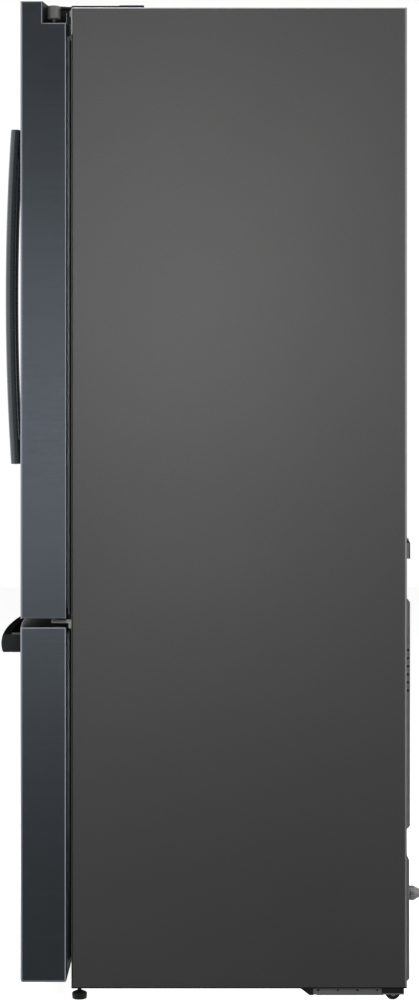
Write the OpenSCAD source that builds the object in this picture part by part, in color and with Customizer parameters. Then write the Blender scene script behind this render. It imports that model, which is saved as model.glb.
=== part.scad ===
// French door refrigerator: two side-hinged upper doors over a pull-out freezer drawer.
// X is width, the front faces -Y, Z is up, and the origin is on the floor under the middle.

/* [Overall] */
// Width of the cabinet, and of the two doors together
cabinet_w = 905; // [750:1:1090]
// Height from the floor to the top edge of the upper doors
total_h = 1829; // [1520:1:2200]
// Depth of the cabinet behind the doors
cabinet_d = 614; // [510:1:740]
// How far the cabinet's top is below the doors' top edge
top_drop = 11; // [9:0.5:14]
// Height of the cabinet's underside above the floor
floor_gap = 23; // [19:0.5:28]
// Thickness of the cabinet's painted sheet
sheet_t = 1; // [0.8:0.1:1.3]

/* [Insulated walls] */
// Wall from the cabinet's side to the opening
side_wall = 45; // [37:1:54]
// Wall from the cabinet's top to the opening
top_wall = 66; // [55:1:80]
// Wall from the liners' backs to the cabinet's back
back_wall = 62; // [51:1:75]
// Wall from the cabinet's underside to the freezer opening
bottom_wall = 59; // [54:1:71]
// Height of the rail between the two compartments
rail_h = 60; // [54:1:72]
// Depth of the steel rail between the two compartments
rail_d = 24; // [20:1:29]
// Thickness of the plastic liners
liner_t = 2.5; // [2:0.1:3]

/* [Doors] */
// Thickness of each door at its outer edge
door_t = 84.3; // [78:0.1:101.2]
// How far the middle of the front bulges ahead of its outer edges
door_bow = 18; // [8:1:22]
// Gap between the doors and the cabinet, filled by the gaskets
seal_gap = 8.7; // [8.7:0.1:10.5]
// Gap between the two upper doors
door_gap = 6; // [5:0.5:7.2]
// Height of the middle of the gap between the upper doors and the drawer
split_z = 692; // [600:1:830]
// Height of the gap between the upper doors and the drawer
split_gap = 15.2; // [14:0.1:18.3]
// Height of the drawer's lower edge
drawer_z = 34; // [29:0.5:40]
// Thickness of the doors' steel skin
skin_t = 0.8; // [0.6:0.1:1]
// Radius of the skin's front edges
edge_r = 4; // [3:0.5:5]
// Width of the skin's return round the back of a door
skin_flange = 16; // [13:1:20]
// Height of a door's end caps
cap_h = 18; // [15:1:22]
// Width of a gasket
gasket_w = 12; // [10:0.5:13]
// Distance from a door's hinged edge to its gasket
gasket_in = 26; // [25:0.5:28]
// Distance from a door's free edge to its gasket
gasket_free_in = 5; // [4:0.5:8]
// Width of the ridges that hold the door bins
dike_w = 20; // [17:1:24]
// How far the ridges stand behind the door
dike_d = 42; // [35:1:50]
// Wall of the door bins
bin_t = 3; // [2.5:0.1:3.6]
// Height of the door bins
bin_h = 92; // [77:1:110]
// Depth of the lowest door bin
low_bin_d = 72; // [60:1:78]
// Depth of the other door bins
bin_d = 104; // [87:1:115]
// Height from one door bin to the next
bin_pitch = 300; // [250:1:360]
// Width of the folding strip between the upper doors
flap_w = 36; // [30:1:44]
// Thickness of the folding strip
flap_t = 16; // [13:1:19]
// Diameter of the folding strip's pins
flap_pin_d = 5; // [4:0.1:6]

/* [Hinges] */
// Distance from the cabinet's side to the hinge axis
hinge_in = 22; // [21:0.5:25]
// Distance from the cabinet's front to the hinge axis
hinge_out = 33; // [31:0.5:36]
// Diameter of the hinge pins
pin_d = 6.4; // [5.3:0.1:7.7]
// Diameter of the top hinge's barrel
barrel_d = 24; // [20:0.5:25]
// Depth of the notch in the door's top corner
notch_h = 39.5; // [34:0.5:47]
// Distance from the door's front edge to the notch
notch_y = 40; // [36:0.5:41]
// Height of the top hinge's barrel
barrel_h = 23; // [19:0.5:27]
// Thickness of the top hinge's plate
hinge_t = 3.6; // [3:0.1:4.3]
// Thickness of the middle hinge's plate
mid_hinge_t = 6.4; // [5.4:0.1:7.4]
// Length of the hinge cover on the cabinet's top
cover_l = 133; // [112:1:160]
// Radial clearance of pins and axles
pin_fit = 0.1; // [0.05:0.01:0.12]

/* [Handles] */
// Distance between the middles of the two door handles
handle_gap = 70; // [60:1:84]
// Width of a door handle
handle_w = 26; // [22:1:31]
// Thickness of the handle bars
bar_t = 19; // [16:0.5:23]
// Height of a door handle's lower end above its door's lower edge
handle_rise = 286; // [240:1:340]
// Distance from a door's top to its handle's upper end
handle_drop = 165; // [138:1:198]
// How far a door handle's ends stand off the door
handle_end_reach = 36.7; // [31:0.1:44]
// How far a door handle's middle stands off the door
handle_mid_reach = 47.6; // [44:0.1:57]
// Height of a door handle's end posts
post_h = 50; // [42:1:60]
// Gap between a handle's bar and its posts
post_gap = 0.05; // [0:0.01:0.1]
// Distance from the drawer's side to the end of its handle
drawer_handle_in = 55; // [46:1:66]
// Height of the middle of the drawer's handle
drawer_handle_z = 650; // [640:1:655]
// Height of the drawer's handle bar
drawer_handle_h = 33; // [28:0.5:39]
// How far the drawer's handle stands off the drawer
drawer_handle_reach = 36; // [32:0.5:43]
// Width of the drawer handle's end posts
drawer_post_w = 44; // [37:1:53]

/* [Feet and rollers] */
// Diameter of a levelling foot
foot_d = 27.8; // [23.2:0.1:33]
// Diameter of a levelling foot's thread
stem_d = 8; // [6.7:0.1:9.6]
// Distance from the cabinet's front to a foot's middle
foot_y = 14; // [12:0.5:16]
// Diameter of a rear roller
roller_d = 28; // [24:0.5:33.6]
// Width of a rear roller
roller_w = 15; // [12.5:0.5:16]
// Diameter of a roller's axle
axle_d = 6; // [5:0.5:7.2]
// Distance from the cabinet's back to a roller's axle
roller_back = 25; // [22:1:28]
// Length of the channel that holds a roller
channel_l = 190; // [160:1:228]

/* [Inside] */
// Depth of the machine compartment at the bottom of the back
machine_d = 208; // [180:1:215]
// Height of the machine compartment's ceiling above the floor
machine_h = 262; // [250:1:310]
// Height of the fresh-food compartment's drawers
crisper_h = 165; // [138:1:190]
// Distance from the cabinet's front to the fronts of those drawers
crisper_in = 195; // [190:1:230]
// Wall of the drawers
crisper_t = 3; // [2.5:0.1:3.6]
// Height from one glass shelf to the next
shelf_pitch = 215; // [180:1:258]
// Distance from the cabinet's front to the shelves' front edges
shelf_in = 142; // [142:1:170]
// Thickness of the glass shelves
glass_t = 4; // [3.4:0.1:4.8]
// Height of the freezer basket
basket_h = 205; // [171:1:215]
// Wall of the freezer basket and tray
basket_t = 3; // [2.5:0.1:3.6]
// Height of the freezer's upper tray
tray_h = 90; // [75:1:108]
// Height of the slides' middle above the floor
slide_z = 356; // [345:1:365]

/* [Water supply] */
// Diameter of the supply tube that the inlet takes
tube_d = 6.4; // [5.3:0.1:7.7]
// Diameter of the inlet's nut
nut_d = 27.5; // [23:0.5:33]
// How far the inlet stands behind the cabinet
inlet_reach = 31; // [26:1:37]
// Distance from the cabinet's side to the inlet
inlet_in = 80; // [67:1:96]
// Height of the inlet above the floor
inlet_z = 182; // [152:1:200]

/* [Hidden] */
$fn = 72;

half_w = cabinet_w / 2;
cut = 1;                 // how far a cutting shape runs past what it cuts
arc_steps = 16;          // flats that stand for one door's curved front

// the front's one long arc, and its distance ahead of the doors' outer edges at any x
bow_r = (pow(door_bow, 2) + pow(half_w, 2)) / (2 * door_bow);
function bow_y(x, inset = 0) = bow_r - door_bow - sqrt(pow(bow_r - inset, 2) - x * x);

// places from front to back
handle_x = handle_gap / 2;
handle_front = handle_mid_reach - bow_y(handle_x);
total_d = handle_front + door_t + seal_gap + cabinet_d + inlet_reach;
face_y = handle_front - total_d / 2;
door_back = face_y + door_t;
cab_front = door_back + seal_gap;
cab_back = cab_front + cabinet_d;
liner_back = cab_back - back_wall;
hinge_y = cab_front - hinge_out;

// places across the width
hinge_x = half_w - hinge_in;
open_x = half_w - side_wall;
room_x = open_x - liner_t;
free_x = door_gap / 2;

// places from bottom to top
cab_top = total_h - top_drop;
open_top = cab_top - top_wall;
open_bottom = floor_gap + bottom_wall;
rail_bottom = split_z - rail_h / 2;
rail_top = split_z + rail_h / 2;
door_z = split_z + split_gap / 2;
drawer_top = split_z - split_gap / 2;
notch_z = total_h - notch_h;

// the base pan, the machine compartment and the freezer's step over it
pan_t = 3;
beam_d = 30;
beam_h = 41;
step_wall = 38;
machine_y = cab_back - machine_d;
step_y = machine_y - step_wall;
step_z = machine_h + step_wall;

// the fresh-food compartment's drawers and shelves
crisper_y = cab_front + crisper_in;
crisper_back = liner_back - 30;
crisper_z = rail_top + liner_t + 10;
cover_z = crisper_z + crisper_h + 4;
cover_t = 20;
shelf_y = cab_front + shelf_in;
shelf_back = liner_back - 26;
shelf_edge = 10;
shelf_count = floor((open_top - cover_z - cover_t - 110) / shelf_pitch);
function shelf_z(i) = cover_z + cover_t + shelf_pitch * i;

duct_w = 150;

// the door ridges and bins
dike_in = half_w - open_x + 14;
dike_free_in = flap_w + 10;
dike_bottom = rail_top + liner_t + 10;
dike_top = open_top - liner_t - 10;
bin_x0 = free_x + dike_free_in + dike_w;
bin_x1 = half_w - dike_in - dike_w;
bin_count = floor((dike_top - dike_bottom - 40 - bin_h) / bin_pitch) + 1;
function bin_z(i) = dike_bottom + 40 + bin_pitch * i;

// the freezer's basket, tray and slides
slide_t = 3;
slide_gap = 0.5;
slide_x = room_x;
slide_h = 42;
slide_y = cab_front + 8;
slide_back = liner_back - 30;
basket_x = slide_x - 3 * (slide_t + slide_gap) - 4;
basket_y = door_back + 14;
basket_back = step_y - 16;
basket_z = open_bottom + liner_t + 12;
tray_z = slide_z + slide_h / 2 + 40;
tray_back = basket_back - 30;

// the top hinge's arm and barrel, and the low cover over its plate
cover_in = 12;
cover_w = 82;
cover_wall = 1.4;
cover_top = cab_top + hinge_t + 0.2 + cover_wall;
arm_w = 2 * (hinge_in - cover_in - cover_wall - 0.2);
barrel_top = cab_top + hinge_t + 2;

// the middle hinge's tip round its pin, and its leg on the rail
mid_tip_d = pin_d + 3;
mid_leg = 9;
mid_lift = 1.2;

// the back's covers, the inlet valve's body and the cord's grommet
upper_cover_reach = 12;
lower_cover_reach = 5.5;
cover_sheet = 1.2;
inlet_body = 22;
cord_x = -300;
cord_z = 120;

// the rollers' channels
channel_h = 12;
channel_x1 = half_w - 3;
channel_x0 = channel_x1 - roller_w - 10;
roller_y = cab_back - roller_back;

// the crispers' vent sliders
slider_x = half_w / 2 - 30;
slider_travel = 40;

// where the handles meet the doors' fronts
handle_base = face_y + bow_y(handle_x);
drawer_bar_x = half_w - drawer_handle_in;

// the folding strip's place, its pins' axis and the room at its ends for the lugs that hold them
flap_y = cab_front + 3;
flap_axis_x = -free_x - flap_w + 3;
flap_axis_y = flap_y + flap_t / 2;
flap_end = 6;
lug_t = 4;

steel_dark = [0.27, 0.30, 0.33];
paint_grey = [0.40, 0.40, 0.40];
zinc = [0.62, 0.61, 0.57];
black = [0.07, 0.07, 0.08];
white = [0.93, 0.94, 0.95];
clear = [0.80, 0.88, 0.92];

// A block between two opposite corners
module block(a, b) { translate(a) cube(b - a); }

// Its children, or their mirror image on the left
module on_side(side) { mirror([side < 0 ? 1 : 0, 0, 0]) children(); }

// The same piece on both sides
module both_sides() { for (side = [1, -1]) on_side(side) children(); }

// A round bar along X, from x0 to x1
module bar_x(x0, x1, y, z, d) { translate([x0, y, z]) rotate([0, 90, 0]) cylinder(d = d, h = x1 - x0); }

// A profile of [y, z] points, extruded along X
module profile_x(x0, x1, points) {
    translate([x0, 0, 0]) rotate([90, 0, 90]) linear_extrude(x1 - x0) polygon(points);
}

// A profile of [radius, y] points, turned round an axis along Y
module turned_y(x, z, points) {
    translate([x, 0, z]) rotate([-90, 0, 0]) rotate_extrude() polygon(points);
}

// A tray with an open top
module open_box(a, b, wall) {
    difference() {
        block(a, b);
        block(a + [wall, wall, wall], b + [-wall, -wall, cut]);
    }
}

// A solid door body: bowed front with rounded edges, straight sides and a flat back
module door_body(x0, x1, z0, z1, inset, back) {
    a = x0 + inset;
    b = x1 - inset;
    r = edge_r - inset;
    front = face_y;
    points = concat(
        [for (t = [180:30:240]) [a + r + r * cos(t), front + bow_y(a + r, inset) + r + r * sin(t)]],
        [for (i = [0:arc_steps]) let (x = a + r + (b - a - 2 * r) * i / arc_steps) [x, front + bow_y(x, inset)]],
        [for (t = [300:30:360]) [b - r + r * cos(t), front + bow_y(b - r, inset) + r + r * sin(t)]],
        [[b, back], [a, back]]);
    translate([0, 0, z0]) linear_extrude(z1 - z0) polygon(points);
}

// The notch in an upper door's outer top corner, which the hinge's arm sweeps through
module hinge_notch(z0) {
    slope = 0.23;
    reach = hinge_in + barrel_d / 2 + 2;
    run_out = 10;
    translate([0, 0, z0]) linear_extrude(total_h - z0 + cut) polygon([
        [half_w + cut, face_y + notch_y],
        [half_w - reach, face_y + notch_y + slope * reach],
        [half_w - reach - run_out, door_back + cut],
        [half_w + cut, door_back + cut]]);
}

// ---------------------------------------------------------------- cabinet

// One bent sheet: both sides and the top, with a flange turned in round the front
module cabinet_wrapper() {
    color(paint_grey) difference() {
        block([-half_w, cab_front, floor_gap], [half_w, cab_back, cab_top]);
        block([-half_w + sheet_t, cab_front + sheet_t, floor_gap - cut],
              [half_w - sheet_t, cab_back + cut, cab_top - sheet_t]);
        block([-open_x, cab_front - cut, floor_gap - cut], [open_x, cab_front + 2, open_top]);
    }
}

module back_panel() {
    color(zinc) block([-half_w + sheet_t, cab_back - sheet_t, machine_h],
                      [half_w - sheet_t, cab_back, cab_top - sheet_t]);
}

// Floor pan with a front beam that takes the feet, and holes over the rollers
module base_frame() {
    inner = half_w - sheet_t;
    front = cab_front + sheet_t;
    color(zinc) difference() {
        union() {
            block([-inner, front, floor_gap], [inner, cab_back - sheet_t, floor_gap + pan_t]);
            block([-inner, front, floor_gap], [inner, front + beam_d, floor_gap + beam_h]);
        }
        for (side = [1, -1])
            block([side * inner / 2 - inner / 2 + 32, front + 2, floor_gap + pan_t],
                  [side * inner / 2 + inner / 2 - 32, front + beam_d + cut, floor_gap + beam_h - 2]);
        both_sides() {
            translate([hinge_x, cab_front + foot_y, floor_gap - cut])
                cylinder(d = stem_d + 2 * pin_fit, h = beam_h + 2 * cut);
            block([channel_x0 + 2, cab_back - roller_back - roller_d / 2 - 3, floor_gap - cut],
                  [channel_x1 - 2, cab_back - roller_back + roller_d / 2 + 3, floor_gap + pan_t + cut]);
        }
    }
}

module mid_rail() {
    color(paint_grey) difference() {
        block([-open_x, cab_front, rail_bottom], [open_x, cab_front + rail_d, rail_top]);
        block([-open_x - cut, cab_front + 1.2, rail_bottom + 1.2], [open_x + cut, cab_front + rail_d + cut, rail_top - 1.2]);
    }
}

module fridge_liner() {
    front = cab_front + sheet_t;
    color(white) difference() {
        block([-open_x, front, rail_top], [open_x, liner_back, open_top]);
        block([-room_x, front - cut, rail_top + liner_t], [room_x, liner_back - liner_t, open_top - liner_t]);
    }
}

function freezer_outline(t, front) = [
    [front, open_bottom + t], [step_y - t, open_bottom + t], [step_y - t, step_z + t],
    [liner_back - t, step_z + t], [liner_back - t, rail_bottom - t], [front, rail_bottom - t]];

module freezer_liner() {
    front = cab_front + sheet_t;
    color(white) difference() {
        profile_x(-open_x, open_x, freezer_outline(0, front));
        profile_x(-room_x, room_x, freezer_outline(liner_t, front - cut));
    }
}

module cabinet_foam() {
    inner = half_w - sheet_t;
    front = cab_front + sheet_t;
    color([0.85, 0.80, 0.62]) difference() {
        block([-inner, front, floor_gap + pan_t], [inner, cab_back - sheet_t, cab_top - sheet_t]);
        block([-open_x, front - cut, rail_top], [open_x, liner_back, open_top]);
        profile_x(-open_x, open_x, freezer_outline(0, front - cut));
        block([-open_x, front - cut, rail_bottom - cut], [open_x, cab_front + rail_d, rail_top + cut]);
        block([-inner - cut, front - cut, floor_gap - cut], [inner + cut, front + beam_d, floor_gap + beam_h]);
        block([-inner - cut, machine_y, floor_gap - cut], [inner + cut, cab_back + cut, machine_h]);
    }
}

// Ribbed panel over the air duct, with a slot for each shelf space
module air_duct_cover() {
    back = liner_back - liner_t;
    color(white) difference() {
        block([-duct_w, back - 18, cover_z + cover_t + 20], [duct_w, back, open_top - 40]);
        for (z = [cover_z + cover_t + 150 : shelf_pitch : open_top - 80], side = [1, -1])
            block([side * 95 - 35, back - 18 - cut, z], [side * 95 + 35, back - 6, z + 12]);
    }
}

module evaporator_cover() {
    back = liner_back - liner_t;
    color(white) difference() {
        block([-room_x, back - 16, step_z + liner_t], [room_x, back, rail_bottom - liner_t]);
        for (x = [-300:60:300])
            block([x - 22, back - 16 - cut, rail_bottom - 60], [x + 22, back - 5, rail_bottom - 50]);
    }
}

// ---------------------------------------------------------------- machine compartment

module compressor() {
    x = half_w / 2;
    y = cab_back - machine_d / 2;
    base = floor_gap + pan_t;
    color(black) {
        translate([x, y, base]) {
            translate([0, 0, 12]) rotate_extrude() polygon(concat([[0, 0], [62, 0], [70, 14], [70, 92]],
                [for (t = [15:15:90]) [70 * cos(t), 92 + 46 * sin(t)]]));
            for (dx = [-58, 58], dy = [-48, 48]) translate([dx, dy, 0]) cylinder(d = 22, h = 12);
            translate([-75, -60, 12]) cube([150, 120, 3]);
        }
    }
}

// Tube-and-fin block with the fan's shroud
module condenser() {
    base = floor_gap + pan_t + 34;
    y0 = machine_y + 30;
    y1 = cab_back - 30;
    fan_z = base + 70;
    mid = (y0 + y1) / 2;
    color([0.35, 0.33, 0.31]) {
        for (x = [-240:12:-96]) block([x, y0, base], [x + 1, y1, base + 140]);
        for (z = [base + 25:30:base + 120], y = [mid - 45, mid, mid + 45]) bar_x(-246, -89, y, z, 7);
        difference() {
            block([-89, y0, base - 34], [-59, y1, base + 145]);
            bar_x(-90, -58, mid, fan_z, 118);
        }
        block([-59, mid - 6, base - 34], [-55, mid + 6, fan_z + 22]);
        bar_x(-59, -40, mid, fan_z, 34);
    }
}

// Five-bladed fan that draws air through the condenser
module condenser_fan() {
    base = floor_gap + pan_t + 34;
    mid = (machine_y + cab_back) / 2;
    translate([-74, mid, base + 70]) rotate([0, 90, 0]) color(black) {
        translate([0, 0, -12]) cylinder(d = 32, h = 24);
        for (i = [0:4]) rotate([0, 0, 72 * i]) translate([10, 0, 0]) rotate([28, 0, 0])
            translate([0, -13, -1.2]) cube([42, 26, 2.4]);
    }
}

module drain_pan() {
    color(black) open_box([-260, machine_y + 20, floor_gap + pan_t], [-94, cab_back - 20, floor_gap + pan_t + 30], 2);
}

// ---------------------------------------------------------------- back

// Light sheet cover with rows of slots near its upper edge, and a hole in its side at each row
module rear_cover_upper() {
    reach = upper_cover_reach;
    wing = half_w - 60;
    z0 = machine_h + 36;
    z1 = split_z + 50;
    color([0.70, 0.71, 0.72]) difference() {
        profile_x(-wing, wing, [[cab_back, z0], [cab_back + reach, z0 + 12], [cab_back + reach, z1 - 16], [cab_back, z1]]);
        profile_x(-wing + cover_sheet, wing - cover_sheet, [[cab_back - cut, z0 + 3], [cab_back, z0 + 3],
            [cab_back + reach - cover_sheet, z0 + 14], [cab_back + reach - cover_sheet, z1 - 18], [cab_back, z1 - 3], [cab_back - cut, z1 - 3]]);
        for (i = [0:5], side = [1, -1]) translate([0, 0, z1 - 105.2 - 15 * i]) {
            block([side * wing / 2 - 110, cab_back + reach - 4, -2.8], [side * wing / 2 + 110, cab_back + reach + cut, 2.8]);
            bar_x(side * wing - 3, side * wing + 3, cab_back + reach - 4, 0, 4.6);
        }
    }
}

// Slotted cover over the machine compartment, with holes for the inlets
module rear_cover_lower() {
    reach = lower_cover_reach;
    wing = half_w - 8;
    z0 = floor_gap + 10;
    z1 = machine_h + 6;
    color([0.55, 0.56, 0.57]) difference() {
        profile_x(-wing, wing, [[cab_back, z0], [cab_back + reach, z0 + 6], [cab_back + reach, z1 - 12], [cab_back, z1]]);
        profile_x(-wing + cover_sheet, wing - cover_sheet, [[cab_back - cut, z0 + 3], [cab_back, z0 + 3],
            [cab_back + reach - cover_sheet, z0 + 8], [cab_back + reach - cover_sheet, z1 - 14], [cab_back, z1 - 3], [cab_back - cut, z1 - 3]]);
        for (i = [0:8], side = [1, -1])
            block([side * 190 - 100, cab_back + reach - 4, z0 + 30 + 20 * i], [side * 190 + 100, cab_back + reach + cut, z0 + 38 + 20 * i]);
        turned_y(half_w - inlet_in, inlet_z, [[0, cab_back - 3], [inlet_body / 2 + 1, cab_back - 3], [inlet_body / 2 + 1, cab_back + 20], [0, cab_back + 20]]);
        turned_y(cord_x, cord_z, [[0, cab_back - 3], [8.2, cab_back - 3], [8.2, cab_back + 20], [0, cab_back + 20]]);
    }
}

// Small chamfered clip that guides the water line down the back
module line_guide() {
    z = 827;
    color([0.35, 0.35, 0.36]) difference() {
        profile_x(half_w - 62, half_w - 22, [[cab_back, z - 19], [cab_back + 11, z - 19],
            [cab_back + 11, z + 9], [cab_back + 6.5, z + 19], [cab_back, z + 19]]);
        translate([half_w - 42, cab_back + 3.5, z - 20]) cylinder(d = tube_d, h = 40);
    }
}

// Valve body and nut, bored through for the supply tube
module water_inlet() {
    tip = cab_back + inlet_reach;
    color([0.62, 0.63, 0.64]) turned_y(half_w - inlet_in, inlet_z, [
        [tube_d / 2, cab_back - 20], [inlet_body / 2, cab_back - 20], [inlet_body / 2, tip - 20],
        [nut_d / 2, tip - 19], [nut_d / 2, tip - 9], [tube_d / 2 + 4.6, tip], [tube_d / 2, tip]]);
}

// Grommet that the supply cord passes through
module cord_inlet() {
    y = cab_back + lower_cover_reach;
    color(black) turned_y(cord_x, cord_z, [[3.9, y - 12], [11, y - 12], [11, y - 9.6], [8, y - 9.6],
        [8, y], [12, y], [12, y + 3], [6, y + 14], [3.9, y + 14]]);
}

// ---------------------------------------------------------------- hinges

// Plate on the cabinet's top, with an arm out to the barrel and its pin
module top_hinges() {
    color(zinc) both_sides() {
        block([half_w - cover_in - cover_w + 6, cab_front + 6, cab_top],
              [half_w - cover_in - 6, cab_front + cover_l - 30, cab_top + hinge_t]);
        block([hinge_x - arm_w / 2, hinge_y, cab_top], [hinge_x + arm_w / 2, cab_front + 7, cab_top + hinge_t]);
        translate([hinge_x, hinge_y, barrel_top - barrel_h]) cylinder(d = barrel_d, h = barrel_h);
        translate([hinge_x, hinge_y, notch_z - 26]) cylinder(d = pin_d, h = barrel_top - notch_z + 20);
    }
}

// Low plastic cover over the hinge's plate, a little thicker at its back end
module hinge_covers() {
    x0 = half_w - cover_in - cover_w;
    x1 = half_w - cover_in;
    back = cab_front + cover_l;
    color(black) both_sides() difference() {
        union() {
            block([x0, cab_front, cab_top], [x1, back, cover_top]);
            profile_x(x0, x1, [[back - 46, cover_top - 0.5], [back - 45, cover_top + 0.9], [back - 1, cover_top + 0.9],
                [back, cover_top - 0.5]]);
        }
        block([x0 + cover_wall, cab_front + cover_wall, cab_top - cut],
              [x1 - cover_wall, back - cover_wall, cover_top - cover_wall]);
        block([hinge_x - arm_w / 2 - 0.2, cab_front - cut, cab_top - cut],
              [x1 - cover_wall, cab_front + cover_wall + cut, cover_top - cover_wall]);
    }
}

// Plate between the doors and the drawer, with the upper door's lower pin
module mid_hinges() {
    z = split_z - mid_hinge_t / 2 + mid_lift;
    color(zinc) both_sides() {
        translate([hinge_x, hinge_y, z]) cylinder(d = mid_tip_d, h = mid_hinge_t);
        block([hinge_x - mid_tip_d / 2, hinge_y, z], [hinge_x + mid_tip_d / 2, cab_front, z + mid_hinge_t]);
        block([half_w - 50, cab_front - 5, z - mid_leg], [half_w - 6, cab_front, z + mid_hinge_t]);
        translate([hinge_x, hinge_y, z]) cylinder(d = pin_d, h = mid_hinge_t + 26);
    }
}

// ---------------------------------------------------------------- feet and rollers

// Folded channels under the cabinet that hold the rollers' axles
module roller_brackets() {
    y0 = cab_back - 5 - channel_l;
    z = floor_gap - channel_h;
    color([0.5, 0.5, 0.5]) both_sides() {
        difference() {
            union() {
                profile_x(channel_x0, channel_x1, [[y0, floor_gap], [y0 + 22, z], [cab_back - 5, z], [cab_back - 5, floor_gap]]);
                bar_x(channel_x0, channel_x1, roller_y, roller_d / 2, axle_d + 6);
            }
            block([channel_x0 + 2, y0 - cut, z - 12], [channel_x1 - 2, cab_back, floor_gap - 2]);
            block([channel_x0 + 2, roller_y - roller_d / 2 - 3, z - cut],
                  [channel_x1 - 2, roller_y + roller_d / 2 + 3, floor_gap + cut]);
            for (i = [0:3]) bar_x(channel_x1 - 4, channel_x1 + cut, y0 + 33 + 36 * i, z + 8, 4);
        }
        bar_x(channel_x0, channel_x1, roller_y, roller_d / 2, axle_d);
    }
}

module roller() {
    x0 = (channel_x0 + channel_x1 - roller_w) / 2;
    color(black) difference() {
        union() {
            bar_x(x0 + 1, x0 + roller_w - 1, roller_y, roller_d / 2, roller_d);
            bar_x(x0, x0 + roller_w, roller_y, roller_d / 2, roller_d - 8);
        }
        bar_x(x0 - cut, x0 + roller_w + cut, roller_y, roller_d / 2, axle_d + 2 * pin_fit);
    }
}
module roller_right() { roller(); }
module roller_left() { on_side(-1) roller(); }

module foot() {
    color(black) translate([hinge_x, cab_front + foot_y, 0]) rotate_extrude()
        polygon([[0, 0], [foot_d / 2, 0], [foot_d / 2, 4], [stem_d / 2 + 2.5, 13], [stem_d / 2, 13],
            [stem_d / 2, floor_gap + beam_h - 4], [0, floor_gap + beam_h - 4]]);
}
module foot_right() { foot(); }
module foot_left() { on_side(-1) foot(); }

// ---------------------------------------------------------------- fresh-food compartment

module each_shelf() {
    for (i = [1:shelf_count]) translate([0, 0, shelf_z(i)]) children();
}

// Two tempered glass plates on each level
module shelf_glass() {
    color(clear) each_shelf() both_sides()
        block([4 + shelf_edge, shelf_y + shelf_edge, -glass_t], [room_x - 4 - shelf_edge, shelf_back - shelf_edge, 0]);
}

// Moulded rims round the plates, with their cantilever arms behind the edges
module shelf_frames() {
    color(white) each_shelf() both_sides() difference() {
        union() {
            block([4, shelf_y, -12], [room_x - 4, shelf_back, 2]);
            for (x = [duct_w + 10, room_x - 30]) profile_x(x, x + 4,
                [[shelf_back, -46], [liner_back - liner_t - 1, -52], [liner_back - liner_t - 1, 0], [shelf_y + 60, -8], [shelf_y + 60, -13]]);
        }
        block([4 + shelf_edge, shelf_y + shelf_edge, -glass_t], [room_x - 4 - shelf_edge, shelf_back - shelf_edge, 2 + cut]);
        block([4 + shelf_edge + 8, shelf_y + shelf_edge + 8, -13], [room_x - 12 - shelf_edge, shelf_back - shelf_edge - 8, 0]);
    }
}

// Glazed frame over the two drawers, with a track for each humidity slider
module crisper_cover() {
    color(white) difference() {
        block([-room_x + 0.5, crisper_y - 12, cover_z], [room_x - 0.5, liner_back - liner_t - 1, cover_z + cover_t]);
        both_sides() {
            block([14, crisper_y + 20, cover_z - cut], [room_x - 14, crisper_back - 20, cover_z + cover_t - 5]);
            block([slider_x - 8, crisper_y - 12 - cut, cover_z + 7], [slider_x + slider_travel + 8, crisper_y - 4, cover_z + 13]);
        }
    }
}

// Walls that the drawers run between: one at each side and one in the middle
module crisper_guides() {
    floor_z = rail_top + liner_t;
    color(white) {
        both_sides() block([room_x - 6, crisper_y - 12, floor_z], [room_x - 0.5, crisper_back, cover_z]);
        block([-2, crisper_y - 2, floor_z], [2, crisper_back, cover_z]);
    }
}

module humidity_slider() {
    color(paint_grey) {
        block([slider_x - 5, crisper_y - 10.5, cover_z + 7.5], [slider_x + 5, crisper_y - 5, cover_z + 12.5]);
        block([slider_x - 12, crisper_y - 18, cover_z + 4], [slider_x + 12, crisper_y - 12.5, cover_z + 16]);
        block([slider_x - 5, crisper_y - 13, cover_z + 7.5], [slider_x + 5, crisper_y - 10, cover_z + 12.5]);
    }
}
module humidity_slider_right() { humidity_slider(); }
module humidity_slider_left() { on_side(-1) humidity_slider(); }

// One clear drawer, with a finger lip along the top of its front
module crisper() {
    x0 = 5;
    x1 = room_x - 9;
    top = crisper_z + crisper_h;
    color(clear) {
        open_box([x0, crisper_y, crisper_z], [x1, crisper_back, top], crisper_t);
        block([x0, crisper_y - 14, top - 26], [x1, crisper_y + 1, top - 22]);
    }
}
module crisper_right() { crisper(); }
module crisper_left() { on_side(-1) crisper(); }

module ceiling_light() {
    color([1, 1, 0.95]) block([-120, cab_front + 190, open_top - liner_t - 9], [120, cab_front + 250, open_top - liner_t]);
}

// ---------------------------------------------------------------- upper doors

// Folded steel skin: bowed front, both edges and a return round the back
module upper_skin() {
    color(steel_dark) difference() {
        door_body(free_x, half_w, door_z, total_h, 0, door_back);
        door_body(free_x, half_w, door_z - cut, total_h + cut, skin_t, door_back - skin_t);
        block([free_x + skin_flange, door_back - 2, door_z - cut], [half_w - skin_flange, door_back + cut, total_h + cut]);
        hinge_notch(notch_z);
    }
}

// The blocks round the hinge pins, which belong to the end caps and not to the foam
module hinge_blocks() {
    block([half_w - 110, face_y - door_bow, notch_z - 34], [half_w + cut, door_back + cut, total_h + cut]);
    block([half_w - 60, face_y - door_bow, door_z - cut], [half_w + cut, door_back + cut, door_z + 34]);
}

// Moulded caps in the door's two ends, bored for the hinge pins
module upper_caps() {
    inner_back = door_back - skin_t;
    color(black) difference() {
        intersection() {
            door_body(free_x, half_w, door_z, total_h, skin_t, inner_back);
            union() {
                block([0, face_y - door_bow, total_h - cap_h], [half_w, door_back, total_h]);
                block([0, face_y - door_bow, door_z], [half_w, door_back, door_z + cap_h]);
                hinge_blocks();
            }
        }
        hinge_notch(notch_z);
        translate([hinge_x, hinge_y, notch_z - 30]) cylinder(d = pin_d + 2 * pin_fit, h = 40);
        translate([hinge_x, hinge_y, door_z - cut]) cylinder(d = pin_d + 2 * pin_fit, h = 28 + cut);
    }
}

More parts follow.
